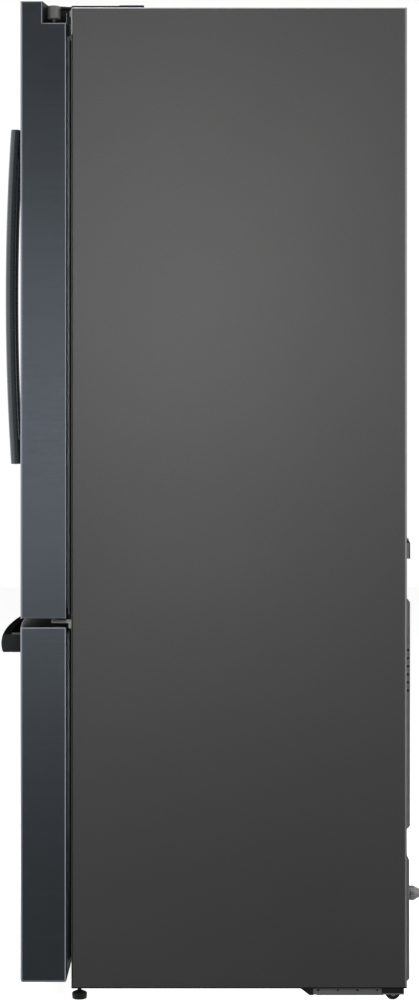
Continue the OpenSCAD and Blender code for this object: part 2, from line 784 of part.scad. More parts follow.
// Foam-filled inner panel with the ridges that carry the bins
module upper_liner() {
    inner_back = door_back - skin_t;
    x0 = free_x + dike_free_in;
    x1 = half_w - dike_in;
    color(white) union() {
        difference() {
            union() {
                door_body(free_x, half_w, door_z + cap_h, total_h - cap_h, skin_t, inner_back);
                block([free_x + skin_flange, inner_back - 4, door_z + cap_h],
                      [half_w - skin_flange, door_back, total_h - cap_h]);
            }
            hinge_blocks();
        }
        difference() {
            block([x0, door_back - 1, dike_bottom], [x1, door_back + dike_d, dike_top]);
            block([x0 + dike_w, door_back, dike_bottom + dike_w], [x1 - dike_w, door_back + dike_d + cut, dike_top - dike_w]);
        }
    }
}

module gasket_ring(x0, x1, z0, z1) {
    color([0.32, 0.33, 0.34]) difference() {
        block([x0, door_back, z0], [x1, cab_front, z1]);
        block([x0 + gasket_w, door_back - cut, z0 + gasket_w], [x1 - gasket_w, cab_front + cut, z1 - gasket_w]);
    }
}

module upper_gasket() {
    gasket_ring(free_x + gasket_free_in, half_w - gasket_in, rail_top - gasket_w - 4, open_top + gasket_w + 4);
}

// Open bins between the ridges; the lowest is shallow enough to clear the drawers behind it
module upper_bins() {
    color(clear) for (i = [0:bin_count - 1]) open_box([bin_x0, door_back, bin_z(i)],
        [bin_x1, door_back + (i == 0 ? low_bin_d : bin_d), bin_z(i) + bin_h], bin_t);
}

handle_z0 = door_z + handle_rise;
handle_z1 = total_h - handle_drop;
// how far the door handle stands off at height z
function handle_reach(z) = handle_end_reach + (handle_mid_reach - handle_end_reach)
    * (1 - pow((2 * z - handle_z0 - handle_z1) / (handle_z1 - handle_z0), 2));
function handle_curve(z0, z1, depth) = [for (i = [0:24]) let (z = z0 + (z1 - z0) * i / 24)
    [handle_base - handle_reach(z) + depth, z]];

// Bowed flat bar
module upper_handle() {
    back = handle_curve(handle_z0, handle_z1, bar_t);
    color(steel_dark) profile_x(handle_x - handle_w / 2, handle_x + handle_w / 2,
        concat(handle_curve(handle_z0, handle_z1, 0), [for (i = [24:-1:0]) back[i]]));
}

// Two posts between the bar's ends and the door
module upper_handle_mounts() {
    width = handle_w - 6;
    base = face_y + bow_y(handle_x - handle_w / 2);
    color(steel_dark) for (z = [handle_z0, handle_z1 - post_h])
        profile_x(handle_x - width / 2, handle_x + width / 2,
            concat([[base, z + post_h], [base, z]], handle_curve(z, z + post_h, bar_t + post_gap)));
}

module right_door_skin() { upper_skin(); }
module right_door_liner() { upper_liner(); }
module right_door_gasket() { upper_gasket(); }
module right_door_caps() { upper_caps(); }
module right_door_bins() { upper_bins(); }
module right_door_handle() { upper_handle(); }
module right_handle_mounts() { upper_handle_mounts(); }
module left_door_skin() { on_side(-1) upper_skin(); }
module left_door_liner() {
    color(white) union() {
        on_side(-1) upper_liner();
        flap_lugs();
    }
}
module left_door_gasket() { on_side(-1) upper_gasket(); }
module left_door_caps() { on_side(-1) upper_caps(); }
module left_door_bins() { on_side(-1) upper_bins(); }
module left_door_handle() { on_side(-1) upper_handle(); }
module left_handle_mounts() { on_side(-1) upper_handle_mounts(); }

// Folding strip that closes the gap between the doors, with a pin at each end
module mullion_flap() {
    x0 = -free_x - flap_w;
    y1 = flap_y + flap_t;
    z0 = dike_bottom + flap_end;
    z1 = dike_top - flap_end;
    color([0.3, 0.3, 0.31]) {
        translate([0, 0, z0]) linear_extrude(z1 - z0)
            polygon([[x0, flap_y], [-free_x, flap_y], [-free_x, y1 - 4], [-free_x - 4, y1], [x0 + 4, y1], [x0, y1 - 4]]);
        translate([flap_axis_x, flap_axis_y, z0 - flap_end + 0.5]) cylinder(d = flap_pin_d, h = z1 - z0 + 2 * flap_end - 1);
    }
}

// Lugs on the left door's inner panel that the strip's pins turn in
module flap_lugs() {
    half = flap_pin_d / 2 + 4;
    for (z = [dike_bottom + 0.5, dike_top - 0.5 - lug_t]) difference() {
        block([flap_axis_x - half, door_back - 1, z], [flap_axis_x + half, flap_axis_y + half, z + lug_t]);
        translate([flap_axis_x, flap_axis_y, z - cut]) cylinder(d = flap_pin_d + 2 * pin_fit, h = lug_t + 2 * cut);
    }
}

// ---------------------------------------------------------------- freezer drawer

// Folded steel skin, closed at its top and bottom edges
module freezer_front_skin() {
    color(steel_dark) difference() {
        door_body(-half_w, half_w, drawer_z, drawer_top, 0, door_back);
        door_body(-half_w, half_w, drawer_z + skin_t, drawer_top - skin_t, skin_t, door_back - skin_t);
        block([-half_w + skin_flange, door_back - 2, drawer_z + skin_flange],
              [half_w - skin_flange, door_back + cut, drawer_top - skin_flange]);
    }
}

// Foam-filled inner panel, raised inside the gasket
module freezer_front_liner() {
    x = half_w - gasket_in - gasket_w - 14;
    color(white) union() {
        door_body(-half_w, half_w, drawer_z + skin_t, drawer_top - skin_t, skin_t, door_back - skin_t);
        block([-half_w + skin_flange, door_back - 4, drawer_z + skin_flange],
              [half_w - skin_flange, door_back, drawer_top - skin_flange]);
        block([-x, door_back - 1, open_bottom + liner_t + 8], [x, door_back + 14, rail_bottom - liner_t - 8]);
    }
}

module freezer_gasket() {
    gasket_ring(-half_w + gasket_in, half_w - gasket_in, open_bottom - gasket_w - 2, rail_bottom + gasket_w - 2);
}

function drawer_curve(x0, x1, reach) = [for (i = [0:24]) let (x = x0 + (x1 - x0) * i / 24) [x, face_y + bow_y(x, -reach)]];
function reversed(list) = [for (i = [len(list) - 1:-1:0]) list[i]];

// Full-width bar that follows the drawer's bowed front
module freezer_handle() {
    color(steel_dark) translate([0, 0, drawer_handle_z - drawer_handle_h / 2]) linear_extrude(drawer_handle_h)
        polygon(concat(drawer_curve(-drawer_bar_x, drawer_bar_x, drawer_handle_reach),
            reversed(drawer_curve(-drawer_bar_x, drawer_bar_x, drawer_handle_reach - bar_t))));
}

// End posts between the bar and the drawer
module freezer_handle_mounts() {
    color(steel_dark) both_sides() translate([0, 0, drawer_handle_z - drawer_handle_h / 2]) linear_extrude(drawer_handle_h)
        polygon(concat(drawer_curve(drawer_bar_x - drawer_post_w, drawer_bar_x, drawer_handle_reach - bar_t - post_gap),
            reversed(drawer_curve(drawer_bar_x - drawer_post_w, drawer_bar_x, 0))));
}

// Deep basket hung on the drawer, with slots along its sides
module freezer_basket() {
    top = basket_z + basket_h;
    color(white) difference() {
        union() {
            open_box([-basket_x, basket_y, basket_z], [basket_x, basket_back, top], basket_t);
            both_sides() block([basket_x - 14, basket_y, top], [basket_x, basket_back, slide_z + slide_h / 2 + 20]);
        }
        both_sides() for (y = [basket_y + 40:34:basket_back - 50])
            block([basket_x - 20, y, basket_z + 50], [basket_x + cut, y + 14, top - 40]);
    }
}

// Shallow tray that slides back along the basket's upper edges
module freezer_tray() {
    x = basket_x - 3;
    color(clear) open_box([-x, basket_y + 4, tray_z - 20 + slide_gap], [x, tray_back, tray_z - 20 + tray_h], basket_t);
}

module slide_bar(i, h, y0, y1) {
    x1 = slide_x - i * (slide_t + slide_gap);
    color(zinc) both_sides() block([x1 - slide_t, y0, slide_z - h / 2], [x1, y1, slide_z + h / 2]);
}
module slide_outer() { slide_bar(0, slide_h, slide_y, slide_back); }
module slide_middle() { slide_bar(1, slide_h - 8, slide_y, slide_back); }

// Inner slides, carried by brackets on the drawer's back and on the basket's sides
module slide_inner() {
    x1 = slide_x - 2 * (slide_t + slide_gap);
    slide_bar(2, slide_h - 16, door_back + 14, slide_back - 10);
    color(zinc) both_sides() block([basket_x, basket_y, slide_z - 10], [x1 - slide_t + 0.5, basket_back, slide_z + 10]);
}

cabinet_wrapper();
back_panel();
base_frame();
mid_rail();
fridge_liner();
freezer_liner();
cabinet_foam();
air_duct_cover();
evaporator_cover();
compressor();
condenser();
condenser_fan();
drain_pan();
rear_cover_upper();
rear_cover_lower();
line_guide();
water_inlet();
cord_inlet();
top_hinges();
hinge_covers();
mid_hinges();
roller_brackets();
roller_right();
roller_left();
foot_right();
foot_left();
shelf_glass();
shelf_frames();
crisper_cover();
crisper_guides();
humidity_slider_right();
humidity_slider_left();
crisper_right();
crisper_left();
ceiling_light();
right_door_skin();
right_door_liner();
right_door_gasket();
right_door_caps();
right_door_bins();
right_door_handle();
right_handle_mounts();
left_door_skin();
left_door_liner();
left_door_gasket();
left_door_caps();
left_door_bins();
left_door_handle();
left_handle_mounts();
mullion_flap();
freezer_front_skin();
freezer_front_liner();
freezer_gasket();
freezer_handle();
freezer_handle_mounts();
freezer_basket();
freezer_tray();
slide_outer();
slide_middle();
slide_inner();
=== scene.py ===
import math

import bmesh
import bpy
from mathutils import Matrix, Vector


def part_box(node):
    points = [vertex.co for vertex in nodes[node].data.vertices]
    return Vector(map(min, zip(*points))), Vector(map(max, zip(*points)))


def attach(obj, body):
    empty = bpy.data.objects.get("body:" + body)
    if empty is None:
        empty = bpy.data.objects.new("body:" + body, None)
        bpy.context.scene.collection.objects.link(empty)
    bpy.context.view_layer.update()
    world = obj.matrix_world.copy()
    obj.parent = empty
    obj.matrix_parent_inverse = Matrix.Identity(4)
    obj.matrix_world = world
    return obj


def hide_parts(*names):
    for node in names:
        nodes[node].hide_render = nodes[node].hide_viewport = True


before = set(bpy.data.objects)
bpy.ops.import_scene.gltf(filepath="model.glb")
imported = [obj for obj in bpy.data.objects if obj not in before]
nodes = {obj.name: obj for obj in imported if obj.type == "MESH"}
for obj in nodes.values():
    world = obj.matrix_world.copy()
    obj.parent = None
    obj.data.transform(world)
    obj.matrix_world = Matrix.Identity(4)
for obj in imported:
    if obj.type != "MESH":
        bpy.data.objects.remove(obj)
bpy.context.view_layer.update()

# ---------------------------------------------------------------- camera, light and floor
# The camera stands square to the refrigerator's right side, near half its height, so that the
# doors and their handles are on the left and the cabinet's painted side fills the middle.
side_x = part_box("cabinet_wrapper")[1].x
eye_distance = 3.75
view_height = 1.829
shot = bpy.data.cameras.new("side_view")
shot.sensor_width = 36.0
shot.lens = shot.sensor_width * eye_distance / view_height
shot.shift_x = 0.0145
shot.shift_y = -0.020
viewpoint = bpy.data.objects.new("side_view", shot)
viewpoint.location = (side_x + eye_distance, -0.0169, 0.953)
viewpoint.rotation_euler = (math.radians(90), 0, math.radians(90))
bpy.context.scene.collection.objects.link(viewpoint)
bpy.context.scene.camera = viewpoint
bpy.context.scene.view_settings.view_transform = "Standard"

# The room: dark screens stand off the refrigerator's two sides, bright only in a band at eye
# level, and white screens stand before it, behind it and overhead. They show in the steel and
# the gloss; the soft even daylight that everything also gets is the room's plain grey.
room = bpy.data.worlds.new("room")
bpy.context.scene.world = room
room.use_nodes = True
air = room.node_tree
air.nodes.clear()
heading = air.nodes.new("ShaderNodeTexCoord")
split = air.nodes.new("ShaderNodeSeparateXYZ")
air.links.new(heading.outputs["Generated"], split.inputs[0])
rise = air.nodes.new("ShaderNodeMapRange")
rise.inputs["From Min"].default_value = -1.0
air.links.new(split.outputs["Z"], rise.inputs["Value"])


def ramp(tree, stops, feed):
    """A grey ramp node with the given (position, level) stops."""
    node = tree.nodes.new("ShaderNodeValToRGB")
    node.color_ramp.interpolation = "EASE"
    while len(node.color_ramp.elements) < len(stops):
        node.color_ramp.elements.new(0.5)
    for stop, (place, level) in zip(node.color_ramp.elements, stops):
        stop.position = place
        stop.color = (level, level, level, 1)
    tree.links.new(feed, node.inputs["Fac"])
    return node


side_screen = ramp(air, [(0.0, 0.25), (0.24, 0.2), (0.36, 0.0), (0.425, 0.05), (0.465, 0.40), (0.511, 1.26),
                         (0.557, 0.40), (0.595, 0.03), (0.68, 0.0), (0.76, 1.3), (1.0, 1.9)],
                   rise.outputs["Result"])
white_screen = ramp(air, [(0.0, 1.0), (0.42, 1.5), (0.5, 1.9), (0.75, 1.9), (1.0, 1.8)],
                    rise.outputs["Result"])
far_side = air.nodes.new("ShaderNodeMapRange")
far_side.inputs["From Min"].default_value = -0.5
far_side.inputs["From Max"].default_value = 0.5
far_side.inputs["To Min"].default_value = 0.3
air.links.new(split.outputs["X"], far_side.inputs["Value"])
side_level = air.nodes.new("ShaderNodeVectorMath")
side_level.operation = "SCALE"
air.links.new(side_screen.outputs["Color"], side_level.inputs[0])
air.links.new(far_side.outputs["Result"], side_level.inputs["Scale"])
sideways = air.nodes.new("ShaderNodeMath")
sideways.operation = "ABSOLUTE"
air.links.new(split.outputs["X"], sideways.inputs[0])
edge_of_screen = air.nodes.new("ShaderNodeMapRange")
edge_of_screen.interpolation_type = "SMOOTHSTEP"
edge_of_screen.inputs["From Min"].default_value = 0.80
edge_of_screen.inputs["From Max"].default_value = 0.955
air.links.new(sideways.outputs[0], edge_of_screen.inputs["Value"])
screens = air.nodes.new("ShaderNodeMix")
screens.data_type = "RGBA"
air.links.new(edge_of_screen.outputs["Result"], screens.inputs["Factor"])
air.links.new(white_screen.outputs["Color"], screens.inputs["A"])
air.links.new(side_level.outputs[0], screens.inputs["B"])
reflected = air.nodes.new("ShaderNodeBackground")
air.links.new(screens.outputs["Result"], reflected.inputs["Color"])
daylight = air.nodes.new("ShaderNodeBackground")
daylight.inputs["Color"].default_value = (0.09, 0.09, 0.09, 1)
backdrop = air.nodes.new("ShaderNodeBackground")
backdrop.inputs["Color"].default_value = (1, 1, 1, 1)
seen = air.nodes.new("ShaderNodeLightPath")
by_gloss = air.nodes.new("ShaderNodeMixShader")
by_eye = air.nodes.new("ShaderNodeMixShader")
sky = air.nodes.new("ShaderNodeOutputWorld")
air.links.new(seen.outputs["Is Glossy Ray"], by_gloss.inputs["Fac"])
air.links.new(daylight.outputs[0], by_gloss.inputs[1])
air.links.new(reflected.outputs[0], by_gloss.inputs[2])
air.links.new(seen.outputs["Is Camera Ray"], by_eye.inputs["Fac"])
air.links.new(by_gloss.outputs[0], by_eye.inputs[1])
air.links.new(backdrop.outputs[0], by_eye.inputs[2])
air.links.new(by_eye.outputs[0], sky.inputs["Surface"])


def softbox(name, place, aim, wide, tall, power):
    """An area light that looks from place to aim, and doesn't show in the steel."""
    lamp = bpy.data.lights.new(name, "AREA")
    lamp.shape = "RECTANGLE"
    lamp.size = wide
    lamp.size_y = tall
    lamp.energy = power
    holder = bpy.data.objects.new(name, lamp)
    holder.location = place
    holder.rotation_euler = (Vector(aim) - Vector(place)).to_track_quat("-Z", "Y").to_euler()
    holder.visible_glossy = False
    holder.visible_camera = False
    bpy.context.scene.collection.objects.link(holder)


seam_y = (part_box("freezer_front_skin")[1].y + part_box("cabinet_wrapper")[0].y) / 2
for side, side_name in ((1, "right"), (-1, "left")):
    softbox(f"{side_name}_softbox", (side * (side_x + 1.0), -0.05, 1.27), (side * side_x, -0.05, 1.27), 0.35,
            0.35, 9.8)
    softbox(f"{side_name}_strip", (side * (side_x + 1.8), seam_y, 1.0), (side * side_x, seam_y, 1.0), 0.08,
            1.8, 2.6)
    softbox(f"{side_name}_back_light", (side * 0.48, 2.3, 1.0), (side * side_x, 0.37, 0.9), 0.5, 1.8, 22)
softbox("front_softbox", (0.5, -3.4, 2.4), (0, 0, 0.9), 2.2, 2.2, 90)
softbox("back_softbox", (0.0, 3.8, 2.4), (0, 0, 0.8), 2.2, 2.2, 16)
softbox("top_softbox", (0.0, 0.1, 3.6), (0, 0.1, 1.8), 2.4, 1.4, 85)

# The floor is pale and plain, and stays out of the steel so that the doors keep their dark foot.
bm = bmesh.new()
bmesh.ops.create_grid(bm, x_segments=1, y_segments=1, size=14.0, matrix=Matrix.Translation((0, 0, -0.0004)))
ground = bpy.data.meshes.new("floor")
bm.to_mesh(ground)
bm.free()
floor = bpy.data.objects.new("floor", ground)
bpy.context.scene.collection.objects.link(floor)
floor.visible_glossy = False
floor.visible_diffuse = False
pale = bpy.data.materials.new("pale_floor")
pale.use_nodes = True
pale_shader = pale.node_tree.nodes["Principled BSDF"]
pale_shader.inputs["Base Color"].default_value = (0.85, 0.85, 0.85, 1)
pale_shader.inputs["Roughness"].default_value = 0.9
pale_shader.inputs["Specular IOR Level"].default_value = 0.0
pale_shader.inputs["Emission Color"].default_value = (1, 1, 1, 1)
pale_shader.inputs["Emission Strength"].default_value = 0.88
ground.materials.append(pale)


# ---------------------------------------------------------------- cabinet shell
# One sheet of pre-painted steel bent into the two sides and the top, with a narrow flange
# turned in round the front. The paint is a satin grey with a fine even texture.
def node_group(name, sockets_in):
    """A shader node group that takes the named values and puts out colour, roughness and height."""
    group = bpy.data.node_groups.new(name, "ShaderNodeTree")
    for label, value in sockets_in.items():
        kind = "NodeSocketColor" if isinstance(value, tuple) else "NodeSocketFloat"
        group.interface.new_socket(name=label, in_out="INPUT", socket_type=kind).default_value = value
    for label, kind in (("Color", "NodeSocketColor"), ("Roughness", "NodeSocketFloat"),
                        ("Height", "NodeSocketFloat")):
        group.interface.new_socket(name=label, in_out="OUTPUT", socket_type=kind)
    return group, group.nodes.new("NodeGroupInput"), group.nodes.new("NodeGroupOutput")


def surface_group(name, more_sockets, wide, fine, fine_share):
    """Blends a wide pattern with a fine one, and draws colour, roughness and height from them."""
    group, given, made = node_group(name, {"Low": (0.3, 0.3, 0.3, 1), "High": (0.4, 0.4, 0.4, 1),
                                           "Smooth": 0.3, "Rough": 0.5, **more_sockets})
    place = group.nodes.new("ShaderNodeTexCoord")
    wide_out = wide(group, given, place.outputs["Object"])
    fine_out = fine(group, given, place.outputs["Object"])
    both = group.nodes.new("ShaderNodeMix")
    both.inputs["Factor"].default_value = fine_share
    tone = group.nodes.new("ShaderNodeMix")
    tone.data_type = "RGBA"
    gloss = group.nodes.new("ShaderNodeMapRange")
    group.links.new(wide_out, both.inputs["A"])
    group.links.new(fine_out, both.inputs["B"])
    group.links.new(both.outputs["Result"], tone.inputs["Factor"])
    group.links.new(given.outputs["Low"], tone.inputs["A"])
    group.links.new(given.outputs["High"], tone.inputs["B"])
    group.links.new(both.outputs["Result"], gloss.inputs["Value"])
    group.links.new(given.outputs["Smooth"], gloss.inputs["To Min"])
    group.links.new(given.outputs["Rough"], gloss.inputs["To Max"])
    group.links.new(tone.outputs["Result"], made.inputs["Color"])
    group.links.new(gloss.outputs["Result"], made.inputs["Roughness"])
    group.links.new(fine_out, made.inputs["Height"])
    return group


def noise(group, scale_from, vector, detail=2.0):
    """A noise texture whose scale comes from a group input, stretched to its full range."""
    texture = group.nodes.new("ShaderNodeTexNoise")
    texture.inputs["Detail"].default_value = detail
    group.links.new(scale_from, texture.inputs["Scale"])
    group.links.new(vector, texture.inputs["Vector"])
    spread = group.nodes.new("ShaderNodeMapRange")
    spread.inputs["From Min"].default_value = 0.3
    spread.inputs["From Max"].default_value = 0.7
    group.links.new(texture.outputs["Fac"], spread.inputs["Value"])
    return spread.outputs["Result"]


mottle = surface_group(
    "mottle", {"Cloud Scale": 4.0, "Grain Scale": 500.0},
    lambda group, given, place: noise(group, given.outputs["Cloud Scale"], place),
    lambda group, given, place: noise(group, given.outputs["Grain Scale"], place, 3.0), 0.55)


def finish(name, surface, low, high, smooth, rough, bump, sockets, slot="", **shader_values):
    """A material whose colour, roughness and fine relief all come from a surface group."""
    material = bpy.data.materials.new(name)
    material["slot"] = slot or name
    material.use_nodes = True
    tree = material.node_tree
    shader = tree.nodes["Principled BSDF"]
    for socket, value in shader_values.items():
        shader.inputs[socket.replace("_", " ")].default_value = value
    pattern = tree.nodes.new("ShaderNodeGroup")
    pattern.node_tree = surface
    pattern.inputs["Low"].default_value = (*low, 1)
    pattern.inputs["High"].default_value = (*high, 1)
    pattern.inputs["Smooth"].default_value = smooth
    pattern.inputs["Rough"].default_value = rough
    for socket, value in sockets.items():
        pattern.inputs[socket].default_value = value
    relief = tree.nodes.new("ShaderNodeBump")
    relief.inputs["Strength"].default_value = bump
    relief.inputs["Distance"].default_value = 0.0003
    tree.links.new(pattern.outputs["Color"], shader.inputs["Base Color"])
    tree.links.new(pattern.outputs["Roughness"], shader.inputs["Roughness"])
    tree.links.new(pattern.outputs["Height"], relief.inputs["Height"])
    tree.links.new(relief.outputs["Normal"], shader.inputs["Normal"])
    return material


def mottled(name, low, high, smooth, rough, cloud, grain, bump, **shader_values):
    """A finish with cloudy change over the surface and a fine grain."""
    return finish(name, mottle, low, high, smooth, rough, bump,
                  {"Cloud Scale": cloud, "Grain Scale": grain}, **shader_values)


cabinet_paint = mottled("cabinet_paint", (0.068, 0.068, 0.068), (0.092, 0.092, 0.091), 0.38, 0.48, 1.6, 420,
                        0.5,
                        Specular_IOR_Level=0.2)


def piece(bm, name, body, look, stands_for=(), sheet=0.0, smooth_angle=40):
    """Makes the mesh a piece of the refrigerator that moves with a body, softly shaded between its edges."""
    for edge in bm.edges:
        edge.smooth = edge.calc_face_angle(0) < math.radians(smooth_angle)
    for face in bm.faces:
        face.smooth = True
    mesh = bpy.data.meshes.new(name)
    bm.to_mesh(mesh)
    bm.free()
    mesh.materials.append(look)
    made = bpy.data.objects.new(name, mesh)
    bpy.context.scene.collection.objects.link(made)
    if sheet:
        wall = made.modifiers.new("sheet", "SOLIDIFY")
        wall.thickness = sheet
        wall.offset = -1
        wall.use_even_offset = True
    shading = made.modifiers.new("shading", "WEIGHTED_NORMAL")
    shading.keep_sharp = True
    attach(made, body)
    if stands_for:
        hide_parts(*stands_for)
    return made


def block(low, high):
    """A new mesh with one box between two corners."""
    bm = bmesh.new()
    low, high = Vector(low), Vector(high)
    between = Matrix.Translation((low + high) / 2) @ Matrix.Diagonal((*(high - low), 1))
    bmesh.ops.create_cube(bm, size=1.0, matrix=between)
    return bm


def ease(bm, edges, radius, segments=4):
    """Rounds the edges to a radius."""
    bmesh.ops.bevel(bm, geom=list(edges), offset=radius, offset_type="OFFSET", segments=segments,
                    profile=0.5, affect="EDGES", clamp_overlap=True, material=-1)


def corners(bm, degrees=30):
    """The edges where two faces meet at more than an angle."""
    return [e for e in bm.edges if e.is_manifold and e.calc_face_angle(0) > math.radians(degrees)]


def cut_plane(bm, point, normal):
    """Splits every face that the plane crosses."""
    bmesh.ops.bisect_plane(bm, geom=bm.verts[:] + bm.edges[:] + bm.faces[:], plane_co=point, plane_no=normal,
                           dist=1e-6)


def drop_faces(bm, unwanted):
    """Deletes the faces whose middle passes the test."""
    doomed = [face for face in bm.faces if unwanted(face.calc_center_median())]
    bmesh.ops.delete(bm, geom=doomed, context="FACES")


def split_off(bm, wanted):
    """Moves the faces whose middle passes the test into a mesh of their own."""
    part = bm.copy()
    drop_faces(part, lambda c: not wanted(c))
    drop_faces(bm, wanted)
    return part


def join(bm, *others):
    """Adds the other meshes to the first as separate solids."""
    for other in others:
        carried = bpy.data.meshes.new("carried")
        other.to_mesh(carried)
        other.free()
        bm.from_mesh(carried)
        bpy.data.meshes.remove(carried)
    return bm


def on_side(bm, side):
    """The mesh as it is on the right, or its mirror image on the left."""
    if side < 0:
        bmesh.ops.scale(bm, vec=(-1, 1, 1), verts=bm.verts[:])
        bmesh.ops.reverse_faces(bm, faces=bm.faces[:])
    return bm


low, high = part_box("cabinet_wrapper")
open_low, open_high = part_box("fridge_liner")
cabinet_front, cabinet_top = low.y, high.z
bm = block(low, high)
for x in (open_low.x, open_high.x):
    cut_plane(bm, (x, 0, 0), (1, 0, 0))
cut_plane(bm, (0, 0, open_high.z), (0, 0, 1))
drop_faces(bm, lambda c: c.y > high.y - 1e-4 or c.z < low.z + 1e-4)
drop_faces(bm, lambda c: c.y < low.y + 1e-4 and abs(c.x) < open_high.x and c.z < open_high.z)
ease(bm, corners(bm), 0.0032, 5)
for y in (low.y + 0.0018, low.y + 0.0022, low.y + 0.0030, low.y + 0.0034):
    cut_plane(bm, (0, y, 0), (0, 1, 0))
for vert in [v for v in bm.verts if low.y + 0.0020 < v.co.y < low.y + 0.0032]:
    vert.co.x -= math.copysign(0.0008, vert.co.x) if abs(vert.co.x) > open_high.x else 0
    vert.co.z -= 0.0008 if vert.co.z > high.z - 0.004 else 0
edging_top, rear_strip_front, highlight_end = low.z + 0.0022, high.y - 0.0036, high.z - 0.050
cut_plane(bm, (0, rear_strip_front, 0), (0, 1, 0))
cut_plane(bm, (0, 0, edging_top), (0, 0, 1))
cut_plane(bm, (0, 0, highlight_end), (0, 0, 1))
edging = split_off(bm, lambda c: c.z < edging_top)
# The strip along the rear edge is split off for a lighter paint: a painted highlight.
rear_strip = split_off(bm, lambda c: c.y > rear_strip_front)
# The rounded top edge, and the front edge above the gasket's top, are split off for a light paint: a painted
# highlight.
highlight_faces = split_off(bm, lambda c: abs(c.x) > side_x - 0.0032 and (high.z - 0.0022 < c.z < high.z - 0.0007 or (
    c.y < low.y + 0.0018 and c.z > highlight_end)))
piece(bm, "cabinet_shell", "cabinet", cabinet_paint, ["cabinet_wrapper"], sheet=0.001)

# The shell's rolled top edge, and its front edge above the gasket, are painted light: a painted
# highlight. A strip along its rear edge is painted a lighter grey, also a painted highlight, and a
# black rubber edging closes its lower edge. A black strip in the groove behind the front edge is a
# painted shadow line.
# Black, for the rubber edging along the lower edge and for the painted shadow line behind the front edge.
black_edging_and_painted_shadow = mottled("black_edging_and_painted_shadow", (0.004, 0.004, 0.004), (0.008, 0.008, 0.008), 0.6, 0.7, 20, 900, 0.3,
                  slot="black_plastic",
                  Specular_IOR_Level=0.1)
# A light copy of the cabinet paint: the painted highlight along the top edge and the top of the front edge.
edge_highlight_paint = mottled("edge_highlight_paint", (0.52, 0.52, 0.52), (0.60, 0.60, 0.60), 0.4, 0.5, 30, 900, 0.1,
                      slot="cabinet_paint")
# A lighter grey copy of the cabinet paint: the painted highlight along the rear edge.
rear_edge_highlight = mottled("rear_edge_highlight", (0.22, 0.225, 0.225), (0.27, 0.275, 0.275), 0.4, 0.5, 30, 900, 0.1,
                    slot="cabinet_paint")
piece(edging, "shell_edging", "cabinet", black_edging_and_painted_shadow, sheet=0.001)
piece(rear_strip, "shell_rear_highlight", "cabinet", rear_edge_highlight, sheet=0.001)
piece(highlight_faces, "shell_painted_highlight", "cabinet", edge_highlight_paint, sheet=0.001)
# A thin black strip in the groove behind each front edge: a painted shadow line.
shadow_lines = bmesh.new()
for side in (1, -1):
    shadow_line = block((side_x - 0.0012, low.y + 0.0019, low.z), (side_x - 0.0001, low.y + 0.0031, high.z - 0.003))
    join(shadow_lines, on_side(shadow_line, side))
piece(shadow_lines, "shell_painted_shadow_line", "cabinet", black_edging_and_painted_shadow)


# ---------------------------------------------------------------- back panel and base
# The back is closed by a galvanised sheet with three long beads pressed in it. A zinc-plated pan
# with a box beam along its front carries feet and rollers.
rear_sheet = mottled("rear_sheet", (0.22, 0.225, 0.23), (0.28, 0.285, 0.29), 0.38, 0.55, 55, 300, 0.25,
                     Metallic=0.2)
zinc_steel = mottled("zinc_steel", (0.36, 0.355, 0.33), (0.50, 0.49, 0.455), 0.32, 0.50, 70, 600, 0.2,
                     Metallic=1.0)


def from_cad(node):
    """A merged copy of a CAD node's mesh, with its flat faces joined up."""
    bm = bmesh.new()
    bm.from_mesh(nodes[node].data)
    bmesh.ops.remove_doubles(bm, verts=bm.verts[:], dist=1e-5)
    bmesh.ops.dissolve_limit(bm, angle_limit=math.radians(1), verts=bm.verts[:], edges=bm.edges[:])
    return bm


def eased_copy(node, name, body, look, radius, segments=3, angle=30):
    """A piece whose CAD shape is right, with its sharp edges rounded."""
    bm = from_cad(node)
    ease(bm, corners(bm, angle), radius, segments)
    return piece(bm, name, body, look, [node])


low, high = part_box("back_panel")
bm = block((low.x, high.y - 0.001, low.z), high)
drop_faces(bm, lambda c: c.y < high.y - 1e-4)
bead_half, bead_low, bead_high = 0.035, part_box("rear_cover_upper")[1].z + 0.06, high.z - 0.06
for middle in (-0.25, 0.0, 0.25):
    for x in (middle - bead_half, middle + bead_half):
        cut_plane(bm, (x, 0, 0), (1, 0, 0))
for z in (bead_low, bead_high):
    cut_plane(bm, (0, 0, z), (0, 0, 1))
beads = [f for f in bm.faces if bead_low < f.calc_center_median().z < bead_high
         and min(abs(f.calc_center_median().x - middle) for middle in (-0.25, 0.0, 0.25)) < bead_half]
bmesh.ops.inset_region(bm, faces=beads, thickness=0.004, depth=-0.002)
bmesh.ops.inset_region(bm, faces=beads, thickness=0.006, depth=-0.0035)
piece(bm, "back_sheet", "cabinet", rear_sheet, ["back_panel"], sheet=0.0008)

eased_copy("base_frame", "base_pan", "cabinet", zinc_steel, 0.0005, 2)
eased_copy("mid_rail", "centre_rail", "cabinet", cabinet_paint, 0.0005, 2)


# ---------------------------------------------------------------- liners and foam
# Each compartment is one vacuum-formed sheet of white plastic with rounded inner corners, which
# snaps behind the shell's flange. Rigid foam poured between shell and liners holds them together.
liner_plastic = mottled("liner_plastic", (0.74, 0.75, 0.755), (0.80, 0.81, 0.815), 0.20, 0.32, 3, 220, 0.12)
foam = mottled("foam", (0.58, 0.48, 0.26), (0.76, 0.66, 0.40), 0.85, 0.95, 40, 700, 0.8)
eased_copy("cabinet_foam", "foam_fill", "cabinet", foam, 0.0024, 2)
liner_wall = 0.0025
liner_radius = 0.016


def new_verts(made):
    """The vertices among what an operator made."""
    return [v for v in made["geom"] if isinstance(v, bmesh.types.BMVert)]


low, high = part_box("fridge_liner")
bm = block(low, high)
drop_faces(bm, lambda c: c.y < low.y + 1e-4)
ease(bm, corners(bm), liner_radius, 6)
piece(bm, "fresh_food_liner", "cabinet", liner_plastic, ["fridge_liner"], sheet=liner_wall)

